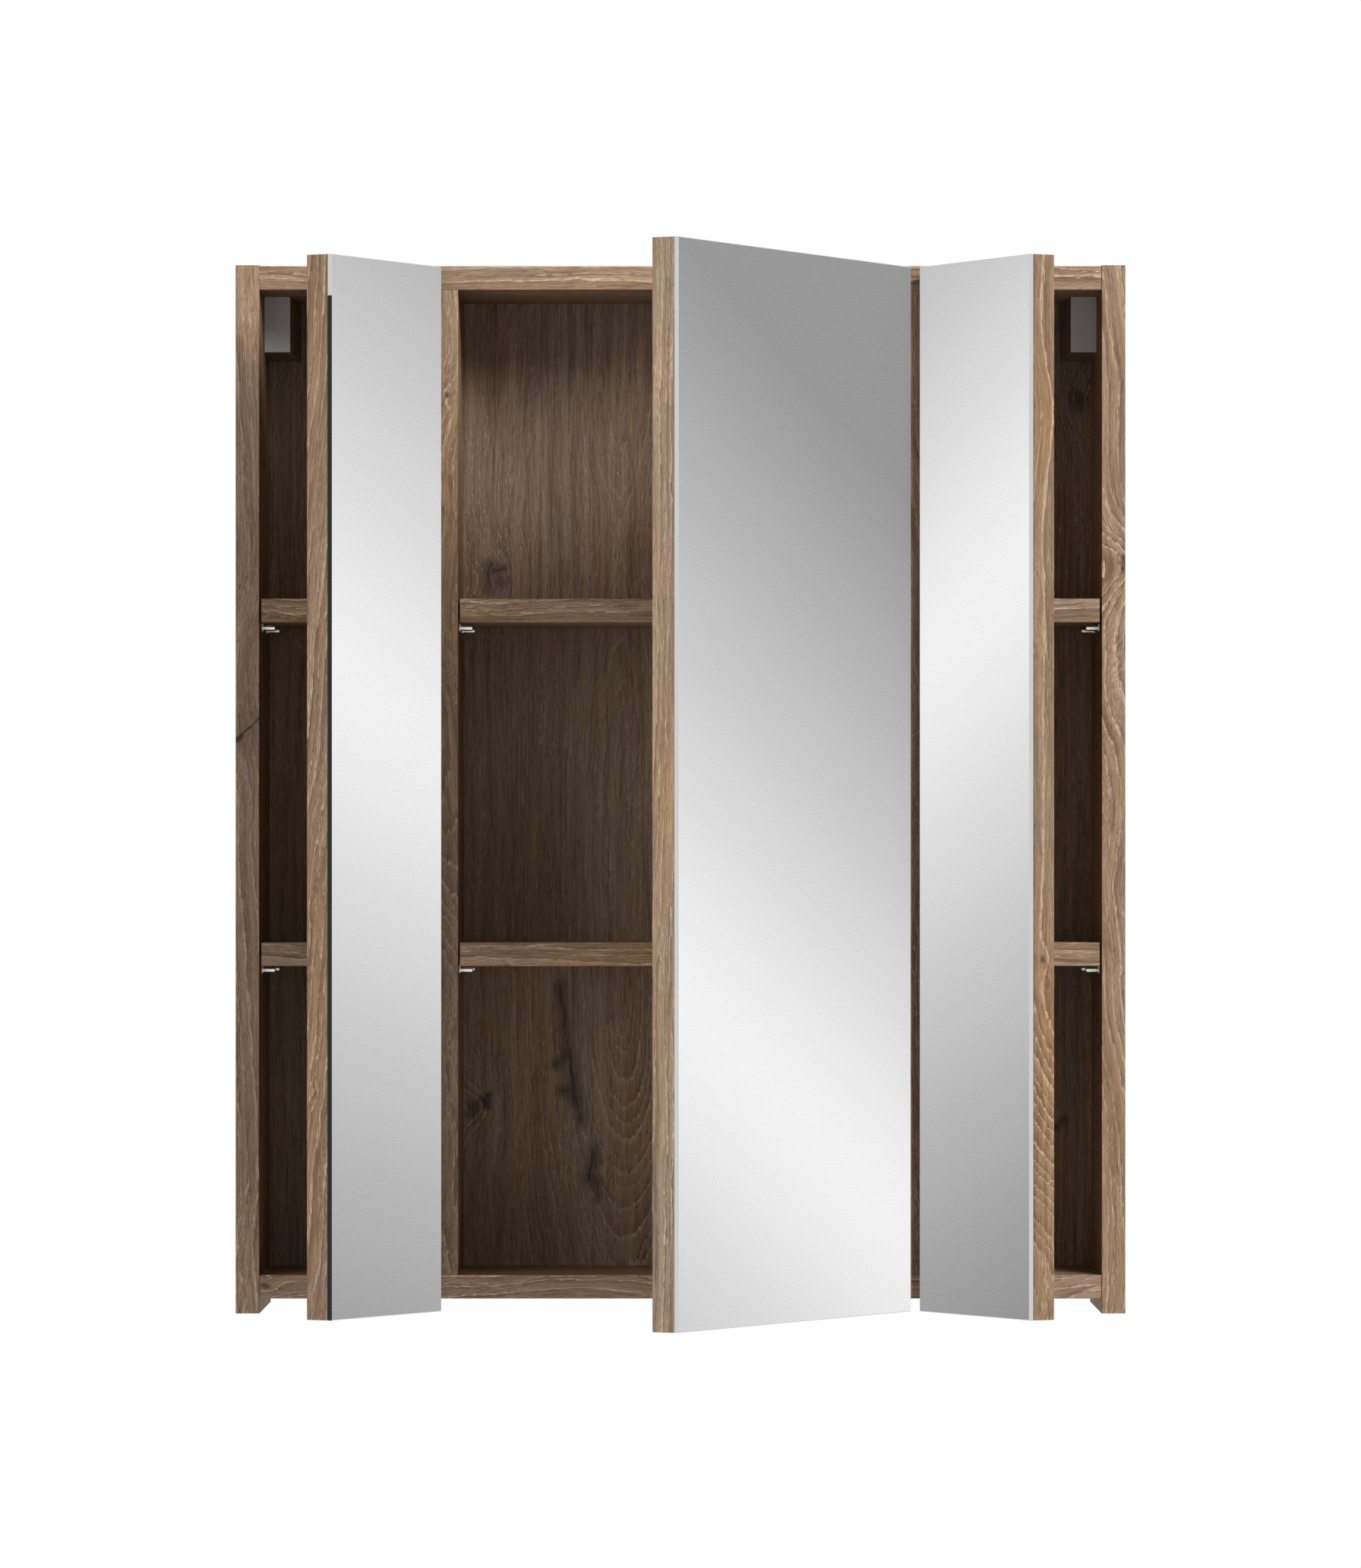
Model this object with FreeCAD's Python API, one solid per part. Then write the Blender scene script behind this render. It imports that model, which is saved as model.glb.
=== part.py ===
import FreeCAD, Part
import math
import os

os.makedirs("parts", exist_ok=True)
V = FreeCAD.Vector

# Overall cabinet, in millimetres. The wall is at Y = 0, the front faces -Y.
WIDTH = 600.0
HEIGHT = 707.0
DEPTH = 160.0
BOARD = 16.0
EDGE_ROUND = 0.6

# Carcass
BOTTOM_LIFT = 10.0
TOP_DROP = 0.5
PANEL_SETBACK = 1.0
SIDE_BAY = 118.0
BACK_THICK = 3.0
BACK_SPACE = 17.0
GROOVE_DEEP = 7.0
GROOVE_PLAY = 0.1
GROOVE_END_PLAY = 0.5

# Shelves and their pins
SHELF_PITCH = 232.0
SHELF_SETBACK = 2.0
SHELF_SIDE_GAP = 1.2
SHELF_BACK_GAP = 1.0
PIN_R = 2.5
PIN_REACH = 9.2
PIN_COLLAR_R = 3.5
PIN_COLLAR = 0.8
PIN_HOLE = 7.0
PIN_FRONT = 35.0
PIN_SPACING = 66.0
PIN_STEP = 32.0

# Fits of pieces that stay together
FIT = 0.05
HOLE_END = 0.5

# Cam fittings, dowels and divider screws
CAM_R = 7.5
CAM_DEEP = 12.5
CAM_REACH = 24.0
CAM_BORE = 4.0
CAM_BOLT_R = 3.0
CAM_THREAD_R = 2.5
CAM_THREAD = 10.5
CAM_HEAD_R = 3.3
CAM_NECK_R = 2.0
CAM_FROM_FRONT = 42.0
CAM_FROM_WALL = 42.0
DOWEL_R = 4.0
DOWEL = 30.0
DOWEL_IN_SIDE = 11.0
SCREW_R = 2.0
SCREW_HEAD_R = 4.0
DIVIDER_SCREW = 46.0

# Hangers in the upper back corners, with their covers and wall plates
COVER_FRONT = 72.5
COVER_WIDE_FRONT = 17.4
COVER_WIDE_BACK = 22.0
COVER_HIGH_FRONT = 37.6
COVER_HIGH_BACK = 40.0
COVER_WALL = 1.5
HANGER_WIDE = 13.0
HANGER_HIGH = 24.0
HANGER_DROP = 6.5
HANGER_START = 8.0
HANGER_WALL = 2.0
HANGER_PEG_R = 5.0
HANGER_PEG = 10.0
HOOK_THICK = 2.5
HOOK_HIGH = 10.0
HOOK_NOSE = 6.0
HOOK_NOSE_THICK = 3.0
HOOK_SLOT_PLAY = 1.0
HOOK_ROOM = 2.0
HANGER_SCREW_R = 3.0
WALL_PLATE_WIDE = 60.0
WALL_PLATE_HIGH = 40.0
WALL_PLATE_THICK = 2.0
WALL_PLATE_INSET = 2.0
WALL_PLATE_ROUND = 3.0
LIP_WIDE = 12.0
LIP_REACH = 10.0
LIP_HIGH = 10.0
WALL_HOLE_R = 2.75
WALL_HOLE_IN = 42.0
WALL_HOLE_SPACING = 24.0

# Doors. Each stands open by this angle.
DOOR_OPEN = 60.0
DOOR_GAP = 3.0
DOOR_REVEAL_SIDE = 2.5
DOOR_REVEAL_END = 2.0
DOOR_STANDOFF = 1.5
MIRROR = 3.0
MIRROR_TAPE = 0.5
TAPE_INSET = 6.0
MIRROR_BEVEL = 0.4
BUMPER_R = 3.0
BUMPER_THICK = 1.3
BUMPER_IN = 6.0

# Concealed hinge. E runs in from the door's hinge edge, F runs forward from the carcass front.
# The bent link turns backwards while the door opens, by this share of the door's angle.
LINK_SHARE = -0.36
ARM_PIVOT_E = 22.0
ARM_PIVOT_F = -17.8
CUP_PIVOT_E = 7.4
CUP_PIVOT_F = 6.7
LINK_HEEL_E = 14.5
LINK_HEEL_F = -8.0
LINK_KNEE_E = 21.0
LINK_KNEE_F = 5.0
LINK_TOE_E = 13.0
LINK_TOE_F = 9.5
LINK_HALF = 1.2
LINK_HALF_WIDE = 4.0
EYE_R = 2.3
HINGE_PIN_R = 1.2
HINGE_SIDE_PLAY = 0.3
LUG_THICK = 1.7
CUP_R = 17.5
CUP_DEEP = 11.5
CUP_WALL = 0.8
CUP_EDGE = 3.0
CUP_FLANGE = 1.0
CUP_FLANGE_HALF = 29.0
CUP_FLANGE_FROM = 19.0
CUP_FLANGE_TO = 33.0
CUP_FLANGE_ROUND = 5.0
CUP_FLANGE_END = 5.0
CUP_SCREW_IN = 5.5
CUP_SCREW = 12.0
CUP_SCREW_R = 1.75
CUP_SCREW_HEAD_R = 3.4
CUP_SCREW_HEAD = 1.2
ARM_END = 62.0
ARM_WEB = 1.8
ARM_WEB_FRONT = 27.0
ARM_TIP_R = 3.4
ARM_SCREW_R = 2.0
ARM_SCREW_HEAD_R = 3.2
ARM_SCREW_HEAD = 1.4
ARM_SCREW = 14.0
ARM_FIXING = 50.0
ARM_FIXING_TRAVEL = 4.0
ARM_ADJUSTER = 34.0
PLATE_THICK = 2.5
PLATE_HALF_WIDE = 9.0
PLATE_FRONT = 22.0
PLATE_BACK = 56.0
BLOCK_FRONT = 25.0
BLOCK_SLOPE = 4.0
BLOCK_PLAY = 0.5
WING_FROM_FRONT = 37.0
WING_HALF = 22.0
WING_HALF_DEEP = 7.0
WING_ROUND = 5.0
WING_END = 6.0
PLATE_SCREW_R = 2.5
PLATE_SCREW = 11.0
PLATE_SCREW_HEAD_R = 4.5
PLATE_SCREW_HEAD = 1.6
HINGE_END_SIDE = 110.0
HINGE_END_CENTRE = 150.0

# Places that follow from the sizes above
HALF = WIDTH / 2
FRONT = -DEPTH
SIDE_IN = HALF - BOARD
DIVIDER_OUT = SIDE_IN - SIDE_BAY
DIVIDER_IN = DIVIDER_OUT - BOARD
DIVIDER_MID = (DIVIDER_OUT + DIVIDER_IN) / 2
BOTTOM_TOP = BOTTOM_LIFT + BOARD
TOP_TOP = HEIGHT - TOP_DROP
TOP_UNDER = TOP_TOP - BOARD
BACK_FACE = -(BACK_SPACE + BACK_THICK)
PANEL_FRONT = FRONT + PANEL_SETBACK
BAY_MIDDLE = (BOTTOM_TOP + TOP_UNDER) / 2
SHELF_UNDERSIDES = [BAY_MIDDLE - SHELF_PITCH / 2 - BOARD / 2, BAY_MIDDLE + SHELF_PITCH / 2 - BOARD / 2]
HANGER_TOP = TOP_UNDER - HANGER_DROP
HANGER_LOW = HANGER_TOP - HANGER_HIGH
HOOK_LOW = HANGER_TOP - HANGER_WALL - HOOK_ROOM - HOOK_HIGH
LIP_TOP = HOOK_LOW
LEDGE_Z = LIP_TOP - LIP_HIGH
MOUNT_HEIGHT = LEDGE_Z
WALL_HOLE_X = SIDE_IN - WALL_PLATE_INSET - WALL_HOLE_IN
BAYS = {
    "left": (-SIDE_IN, -DIVIDER_OUT),
    "centre": (-DIVIDER_IN, DIVIDER_IN),
    "right": (DIVIDER_OUT, SIDE_IN),
}
PIN_YS = [FRONT + PIN_FRONT, FRONT + PIN_FRONT + PIN_SPACING]
CAM_YS = [FRONT + CAM_FROM_FRONT, -CAM_FROM_WALL]
DOWEL_Y = (CAM_YS[0] + CAM_YS[1]) / 2
BOARD_MIDDLE_Z = [BOTTOM_LIFT + BOARD / 2, TOP_TOP - BOARD / 2]


def box(x0, x1, y0, y1, z0, z1):
    low = V(min(x0, x1), min(y0, y1), min(z0, z1))
    return Part.makeBox(abs(x1 - x0), abs(y1 - y0), abs(z1 - z0), low)


def rod(radius, start, end):
    along = end.sub(start)
    return Part.makeCylinder(radius, along.Length, start, along)


def turned(profile, start, direction):
    # A solid of revolution from pairs of distance along the axis and radius
    points = [V(radius, 0, along) for along, radius in profile]
    points = [V(0, 0, profile[0][0])] + points + [V(0, 0, profile[-1][0])]
    face = Part.Face(Part.makePolygon(points + [points[0]]))
    solid = face.revolve(V(0, 0, 0), V(0, 0, 1), 360)
    turn = FreeCAD.Rotation(V(0, 0, 1), direction)
    solid.Placement = FreeCAD.Placement(start, turn)
    return solid


def drill(shape, tools):
    return shape.cut(Part.makeCompound(tools)) if tools else shape


def upright_edges(shape, y):
    edges = []
    for edge in shape.Edges:
        box_of = edge.BoundBox
        if box_of.ZLength > HEIGHT / 2 and abs(box_of.YMin - y) < 1e-6 and abs(box_of.YMax - y) < 1e-6:
            edges.append(edge)
    return edges


def level_edges(shape, y):
    edges = []
    for edge in shape.Edges:
        box_of = edge.BoundBox
        if box_of.XLength > BOARD and abs(box_of.YMin - y) < 1e-6 and abs(box_of.YMax - y) < 1e-6:
            edges.append(edge)
    return edges


def edges_along(shape, direction):
    edges = []
    for edge in shape.Edges:
        if edge.tangentAt(edge.FirstParameter).cross(direction).Length < 1e-6:
            edges.append(edge)
    return edges


def save(name, shapes):
    # Heights are measured from the foot of the sides, and the origin is between the wall screws
    shape = shapes[0].copy() if len(shapes) == 1 else Part.makeCompound([one.copy() for one in shapes])
    shape.translate(V(0, 0, -MOUNT_HEIGHT))
    shape.exportStep("parts/" + name + ".step")


# Shelf pins, the holes they stand in, and a spare hole one step above and below each
def pin_holes(x, way):
    holes = []
    for underside in SHELF_UNDERSIDES:
        for step in (-PIN_STEP, 0, PIN_STEP):
            for y in PIN_YS:
                start = V(x, y, underside - PIN_R + step)
                holes.append(rod(PIN_R + FIT, start, start.add(V(-way * PIN_HOLE, 0, 0))))
    return holes


def shelf_pins():
    pins = []
    shank = PIN_HOLE - HOLE_END
    profile = [(-shank, PIN_R), (0, PIN_R), (0, PIN_COLLAR_R), (PIN_COLLAR, PIN_COLLAR_R)]
    profile += [(PIN_COLLAR, PIN_R), (PIN_REACH - HOLE_END, PIN_R), (PIN_REACH, PIN_R - HOLE_END)]
    for left, right in BAYS.values():
        for underside in SHELF_UNDERSIDES:
            for y in PIN_YS:
                pins.append(turned(profile, V(left, y, underside - PIN_R), V(1, 0, 0)))
                pins.append(turned(profile, V(right, y, underside - PIN_R), V(-1, 0, 0)))
    return pins


# Sides, with a stopped groove for the back panel
BACK_LOW = BOTTOM_TOP - GROOVE_DEEP + GROOVE_END_PLAY
BACK_HIGH = TOP_UNDER + GROOVE_DEEP - GROOVE_END_PLAY
BACK_HALF = SIDE_IN + GROOVE_DEEP - GROOVE_END_PLAY
GROOVE_FRONT = BACK_FACE - GROOVE_PLAY
GROOVE_BACK = -BACK_SPACE + GROOVE_PLAY
HANGER_FRONT = FRONT + COVER_FRONT + HANGER_START
HANGER_BACK = BACK_FACE - HOLE_END
HANGER_MIDDLE_Z = (HANGER_TOP + HANGER_LOW) / 2
PEG_YS = [HANGER_FRONT + HANGER_PEG, HANGER_BACK - HANGER_PEG]


def side_panel(way):
    inner = way * SIDE_IN
    panel = box(way * HALF, inner, FRONT, 0, 0, HEIGHT)
    panel = panel.makeFillet(EDGE_ROUND, upright_edges(panel, FRONT))
    groove_end = way * (SIDE_IN + GROOVE_DEEP)
    low = BACK_LOW - GROOVE_END_PLAY
    high = BACK_HIGH + GROOVE_END_PLAY
    cuts = [box(inner, groove_end, GROOVE_FRONT, GROOVE_BACK, low, high)]
    cuts += pin_holes(inner, -way)
    outward = V(way, 0, 0)
    for z in BOARD_MIDDLE_Z:
        for y in CAM_YS:
            mouth = V(inner, y, z)
            cuts.append(rod(CAM_THREAD_R + FIT, mouth, mouth.add(outward * (CAM_THREAD + HOLE_END))))
        mouth = V(inner, DOWEL_Y, z)
        cuts.append(rod(DOWEL_R + FIT, mouth, mouth.add(outward * (DOWEL_IN_SIDE + HOLE_END))))
    for y in PEG_YS:
        mouth = V(inner, y, HANGER_MIDDLE_Z)
        cuts.append(rod(HANGER_PEG_R + FIT, mouth, mouth.add(outward * (HANGER_PEG + HOLE_END))))
    return drill(panel, cuts)


# Top and bottom panels. Cams are let into the faces that point away from the bays.
def level_panel(low, outer_face, inner_face, up):
    panel = box(-SIDE_IN, SIDE_IN, PANEL_FRONT, 0, low, low + BOARD)
    panel = panel.makeFillet(EDGE_ROUND, level_edges(panel, PANEL_FRONT))
    middle = low + BOARD / 2
    groove_end = inner_face + up * GROOVE_DEEP
    cuts = [box(-SIDE_IN, SIDE_IN, GROOVE_FRONT, GROOVE_BACK, inner_face, groove_end)]
    for way in (-1, 1):
        end = way * SIDE_IN
        inward = V(-way, 0, 0)
        for y in CAM_YS:
            centre = V(end - way * CAM_REACH, y, outer_face)
            cuts.append(rod(CAM_R + FIT, centre, centre.add(V(0, 0, -up * (CAM_DEEP + FIT)))))
            mouth = V(end, y, middle)
            cuts.append(rod(CAM_BORE, mouth, mouth.add(inward * CAM_REACH)))
        mouth = V(end, DOWEL_Y, middle)
        cuts.append(rod(DOWEL_R + FIT, mouth, mouth.add(inward * (DOWEL - DOWEL_IN_SIDE + HOLE_END))))
        x = way * DIVIDER_MID
        for y in CAM_YS:
            head = V(x, y, outer_face)
            cuts.append(screw_hole(head, V(0, 0, -up)))
        mouth = V(x, DOWEL_Y, inner_face)
        cuts.append(rod(DOWEL_R + FIT, mouth, mouth.add(V(0, 0, up * (DOWEL_IN_SIDE + HOLE_END)))))
    return drill(panel, cuts)


def screw_hole(head, direction):
    cone = SCREW_HEAD_R - SCREW_R
    profile = [(0, SCREW_HEAD_R + FIT), (cone, SCREW_R + FIT), (DIVIDER_SCREW + HOLE_END, SCREW_R + FIT)]
    return turned(profile, head, direction)


def divider_screws():
    cone = SCREW_HEAD_R - SCREW_R
    profile = [(0.1, SCREW_HEAD_R - 0.1), (cone, SCREW_R)]
    profile += [(DIVIDER_SCREW - SCREW_R, SCREW_R), (DIVIDER_SCREW, 0.4)]
    screws = []
    for outer_face, up in ((BOTTOM_LIFT, -1), (TOP_TOP, 1)):
        for way in (-1, 1):
            for y in CAM_YS:
                screw = turned(profile, V(way * DIVIDER_MID, y, outer_face), V(0, 0, -up))
                slot = box(-SCREW_HEAD_R / 2, SCREW_HEAD_R / 2, -0.4, 0.4, -1.0, 1.0)
                cross = slot.fuse(slot.copy().rotate(V(0, 0, 0), V(0, 0, 1), 90))
                cross.translate(V(way * DIVIDER_MID, y, outer_face))
                screws.append(screw.cut(cross))
    return screws


def dowels():
    pegs = []
    in_panel = DOWEL - DOWEL_IN_SIDE
    for z in BOARD_MIDDLE_Z:
        for way in (-1, 1):
            start = V(way * (SIDE_IN + DOWEL_IN_SIDE), DOWEL_Y, z)
            pegs.append(rod(DOWEL_R, start, V(way * (SIDE_IN - in_panel), DOWEL_Y, z)))
    for face, up in ((BOTTOM_TOP, -1), (TOP_UNDER, 1)):
        for way in (-1, 1):
            start = V(way * DIVIDER_MID, DOWEL_Y, face + up * DOWEL_IN_SIDE)
            pegs.append(rod(DOWEL_R, start, V(way * DIVIDER_MID, DOWEL_Y, face - up * in_panel)))
    return pegs


def cams():
    housings = []
    bolts = []
    head_end = CAM_REACH + CAM_HEAD_R
    neck = CAM_REACH - CAM_HEAD_R
    profile = [(-CAM_THREAD, CAM_THREAD_R), (0, CAM_THREAD_R), (0, CAM_BOLT_R), (neck - 3, CAM_BOLT_R)]
    profile += [(neck - 3, CAM_NECK_R), (neck, CAM_NECK_R), (neck, CAM_HEAD_R), (head_end - 1, CAM_HEAD_R)]
    profile += [(head_end, CAM_NECK_R)]
    for z, outer_face, up in ((BOARD_MIDDLE_Z[0], BOTTOM_LIFT, -1), (BOARD_MIDDLE_Z[1], TOP_TOP, 1)):
        for way in (-1, 1):
            for y in CAM_YS:
                centre = V(way * (SIDE_IN - CAM_REACH), y, outer_face)
                drum = rod(CAM_R, centre, centre.add(V(0, 0, -up * CAM_DEEP)))
                way_in = V(way * SIDE_IN, y, z)
                bore_end = V(way * (SIDE_IN - CAM_REACH - CAM_HEAD_R - HOLE_END), y, z)
                slot = box(-CAM_R + 2, CAM_R - 2, -0.7, 0.7, -1.5, 1.5)
                cross = slot.fuse(slot.copy().rotate(V(0, 0, 0), V(0, 0, 1), 90))
                cross.translate(centre)
                housings.append(drum.cut(rod(CAM_HEAD_R + HOLE_END, way_in, bore_end)).cut(cross))
                bolts.append(turned(profile, way_in, V(-way, 0, 0)))
    return housings, bolts


# Dividers carry the hinge plates, so the plate screws are drilled into the faces toward the bays
def divider(way, plate_drills):
    panel = box(way * DIVIDER_IN, way * DIVIDER_OUT, PANEL_FRONT, BACK_FACE, BOTTOM_TOP, TOP_UNDER)
    panel = panel.makeFillet(EDGE_ROUND, upright_edges(panel, PANEL_FRONT))
    cuts = pin_holes(way * DIVIDER_OUT, way) + pin_holes(way * DIVIDER_IN, -way) + plate_drills
    in_panel = DOWEL - DOWEL_IN_SIDE
    for face, outer_face, up in ((BOTTOM_TOP, BOTTOM_LIFT, -1), (TOP_UNDER, TOP_TOP, 1)):
        mouth = V(way * DIVIDER_MID, DOWEL_Y, face)
        cuts.append(rod(DOWEL_R + FIT, mouth, mouth.add(V(0, 0, -up * (in_panel + HOLE_END)))))
        for y in CAM_YS:
            cuts.append(screw_hole(V(way * DIVIDER_MID, y, outer_face), V(0, 0, -up)))
    return drill(panel, cuts)


def shelf(bay, underside):
    left, right = BAYS[bay]
    low = left + SHELF_SIDE_GAP
    high = right - SHELF_SIDE_GAP
    front = FRONT + SHELF_SETBACK
    board = box(low, high, front, BACK_FACE - SHELF_BACK_GAP, underside, underside + BOARD)
    return board.makeFillet(EDGE_ROUND, level_edges(board, front))


# Hangers: a pegged housing, a hook that reaches through the back panel, and a plate on the wall
PLATE_TOP = MOUNT_HEIGHT + WALL_PLATE_HIGH / 2
HOOK_X = SIDE_IN - WALL_PLATE_INSET - LIP_WIDE / 2
NOSE_BACK = -(LIP_REACH - WALL_PLATE_THICK - HOOK_NOSE_THICK - HOLE_END)


def back_panel():
    panel = box(-BACK_HALF, BACK_HALF, BACK_FACE, -BACK_SPACE, BACK_LOW, BACK_HIGH)
    cuts = []
    for way in (-1, 1):
        near = way * (HOOK_X - HOOK_THICK / 2 - HOOK_SLOT_PLAY)
        far = way * (HOOK_X + HOOK_THICK / 2 + HOOK_SLOT_PLAY)
        low = HOOK_LOW - HOOK_NOSE - HOOK_SLOT_PLAY
        high = HOOK_LOW + HOOK_HIGH + HOOK_SLOT_PLAY
        cuts.append(box(near, far, BACK_FACE - 1, -BACK_SPACE + 1, low, high))
    return drill(panel, cuts)


def hanger_body(way):
    inner = way * SIDE_IN
    body = box(inner, way * (SIDE_IN - HANGER_WIDE), HANGER_FRONT, HANGER_BACK, HANGER_LOW, HANGER_TOP)
    near = way * (SIDE_IN - HANGER_WALL)
    far = way * (SIDE_IN - HANGER_WIDE + HANGER_WALL)
    channel_front = HANGER_FRONT + 2 * HANGER_WALL
    body = body.cut(box(near, far, channel_front, HANGER_BACK, HOOK_LOW, HANGER_TOP - HANGER_WALL))
    screw_start = V(way * HOOK_X, HANGER_FRONT, HOOK_LOW + HOOK_HIGH / 2)
    body = body.cut(rod(HANGER_SCREW_R + FIT, screw_start, V(screw_start.x, channel_front, screw_start.z)))
    for y in PEG_YS:
        start = V(inner, y, HANGER_MIDDLE_Z)
        body = body.fuse(rod(HANGER_PEG_R, start, start.add(V(way * HANGER_PEG, 0, 0))))
    return body.removeSplitter()


def hanger_hook(way):
    near = way * (HOOK_X - HOOK_THICK / 2)
    far = way * (HOOK_X + HOOK_THICK / 2)
    start = HANGER_FRONT + 6 * HANGER_WALL
    bar = box(near, far, start, NOSE_BACK, HOOK_LOW, HOOK_LOW + HOOK_HIGH)
    nose = box(near, far, NOSE_BACK - HOOK_NOSE_THICK, NOSE_BACK, HOOK_LOW - HOOK_NOSE, HOOK_LOW)
    return bar.fuse(nose).removeSplitter()


def hanger_screw(way):
    z = HOOK_LOW + HOOK_HIGH / 2
    head = HANGER_FRONT - HANGER_WALL
    end = HANGER_FRONT + 6 * HANGER_WALL
    screw = rod(HANGER_SCREW_R, V(way * HOOK_X, head, z), V(way * HOOK_X, end, z))
    slot = box(-0.5, 0.5, -1.2, 1.2, -HANGER_SCREW_R + 0.8, HANGER_SCREW_R - 0.8)
    cross = slot.fuse(slot.copy().rotate(V(0, 0, 0), V(0, 1, 0), 90))
    cross.translate(V(way * HOOK_X, head, z))
    return screw.cut(cross)


def hanger_cover(way):
    front = FRONT + COVER_FRONT
    back = BACK_FACE
    shell = tapered(way, front, back, 0)
    room = tapered(way, front + COVER_WALL, back + 1, COVER_WALL)
    return shell.cut(room)


def tapered(way, front, back, wall):
    # A draughted box whose flat side lies on the side panel and whose top lies under the top panel
    start = SIDE_IN if wall == 0 else SIDE_IN + COVER_WALL
    top = TOP_UNDER - wall
    loops = []
    sections = [(front, COVER_WIDE_FRONT, COVER_HIGH_FRONT), (back, COVER_WIDE_BACK, COVER_HIGH_BACK)]
    for y, wide, high in sections:
        inner = way * (SIDE_IN - wide + wall)
        low = TOP_UNDER - high + wall
        corners = [V(way * start, y, top), V(inner, y, top), V(inner, y, low), V(way * start, y, low)]
        loops.append(Part.makePolygon(corners + [corners[0]]))
    return Part.makeLoft(loops, True, True)


def wall_plate(way):
    near = way * (SIDE_IN - WALL_PLATE_INSET)
    far = way * (SIDE_IN - WALL_PLATE_INSET - WALL_PLATE_WIDE)
    lip_far = way * (SIDE_IN - WALL_PLATE_INSET - LIP_WIDE)
    plate = box(near, far, -WALL_PLATE_THICK, 0, PLATE_TOP - WALL_PLATE_HIGH, PLATE_TOP)
    plate = plate.makeFillet(WALL_PLATE_ROUND, edges_along(plate, V(0, 1, 0)))
    ledge = box(near, lip_far, -LIP_REACH, -WALL_PLATE_THICK, LEDGE_Z, LEDGE_Z + WALL_PLATE_THICK)
    lip = box(near, lip_far, -LIP_REACH, -LIP_REACH + WALL_PLATE_THICK, LEDGE_Z, LIP_TOP)
    plate = plate.fuse([ledge, lip]).removeSplitter()
    holes = []
    for up in (-1, 1):
        start = V(way * WALL_HOLE_X, -WALL_PLATE_THICK - 1, MOUNT_HEIGHT + up * WALL_HOLE_SPACING / 2)
        holes.append(rod(WALL_HOLE_R, start, start.add(V(0, WALL_PLATE_THICK + 2, 0))))
    return drill(plate, holes)


# Concealed hinge, drawn closed in E (X) and F (Y) about its own height
CUP_CENTRE_E = CUP_EDGE + CUP_R
CUP_SCREW_HALF = CUP_FLANGE_HALF - CUP_FLANGE_END
PLATE_SCREW_HALF = WING_HALF - WING_END
CUP_BACK_F = DOOR_STANDOFF
CUP_FLOOR_F = CUP_BACK_F + CUP_DEEP
MOUNT_E = (DOOR_GAP / 2 + DIVIDER_OUT - DIVIDER_MID) - DOOR_GAP
LUG_IN = LINK_HALF_WIDE + HINGE_SIDE_PLAY
LUG_OUT = LUG_IN + LUG_THICK
ARM_BASE_E = MOUNT_E + PLATE_THICK
ARM_TOP_E = ARM_PIVOT_E + ARM_TIP_R
BLOCK_TOP_E = ARM_TOP_E - ARM_WEB - BLOCK_PLAY
BLOCK_HALF = LUG_IN - HINGE_SIDE_PLAY


def slab(points, low, high):
    corners = [V(e, f, low) for e, f in points]
    face = Part.Face(Part.makePolygon(corners + [corners[0]]))
    return face.extrude(V(0, 0, high - low))


def bar(start, end, half, low, high):
    # A flat strip with round ends
    along = V(end[0] - start[0], end[1] - start[1], 0)
    across = V(-along.y, along.x, 0).normalize() * half
    points = [(start[0] + across.x, start[1] + across.y), (end[0] + across.x, end[1] + across.y)]
    points += [(end[0] - across.x, end[1] - across.y), (start[0] - across.x, start[1] - across.y)]
    strip = slab(points, low, high)
    rounds = [Part.makeCylinder(half, high - low, V(p[0], p[1], low)) for p in (start, end)]
    return strip.fuse(rounds)


def hinge_link():
    pivots = [(ARM_PIVOT_E, ARM_PIVOT_F), (CUP_PIVOT_E, CUP_PIVOT_F)]
    bends = [(LINK_HEEL_E, LINK_HEEL_F), (LINK_KNEE_E, LINK_KNEE_F), (LINK_TOE_E, LINK_TOE_F)]
    stations = [pivots[0]] + bends + [pivots[1]]
    low, high = -LINK_HALF_WIDE, LINK_HALF_WIDE
    strips = [bar(stations[i], stations[i + 1], LINK_HALF, low, high) for i in range(len(stations) - 1)]
    eyes = [Part.makeCylinder(EYE_R, high - low, V(e, f, low)) for e, f in pivots]
    holes = [Part.makeCylinder(HINGE_PIN_R + FIT, high - low, V(e, f, low)) for e, f in pivots]
    return drill(strips[0].fuse(strips[1:] + eyes).removeSplitter(), holes)


def hinge_pin(e, f):
    return rod(HINGE_PIN_R, V(e, f, -LUG_OUT - HINGE_SIDE_PLAY), V(e, f, LUG_OUT + HINGE_SIDE_PLAY))


def pivot_hole(e, f):
    return rod(HINGE_PIN_R + FIT, V(e, f, -LUG_OUT - 1), V(e, f, LUG_OUT + 1))


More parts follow.
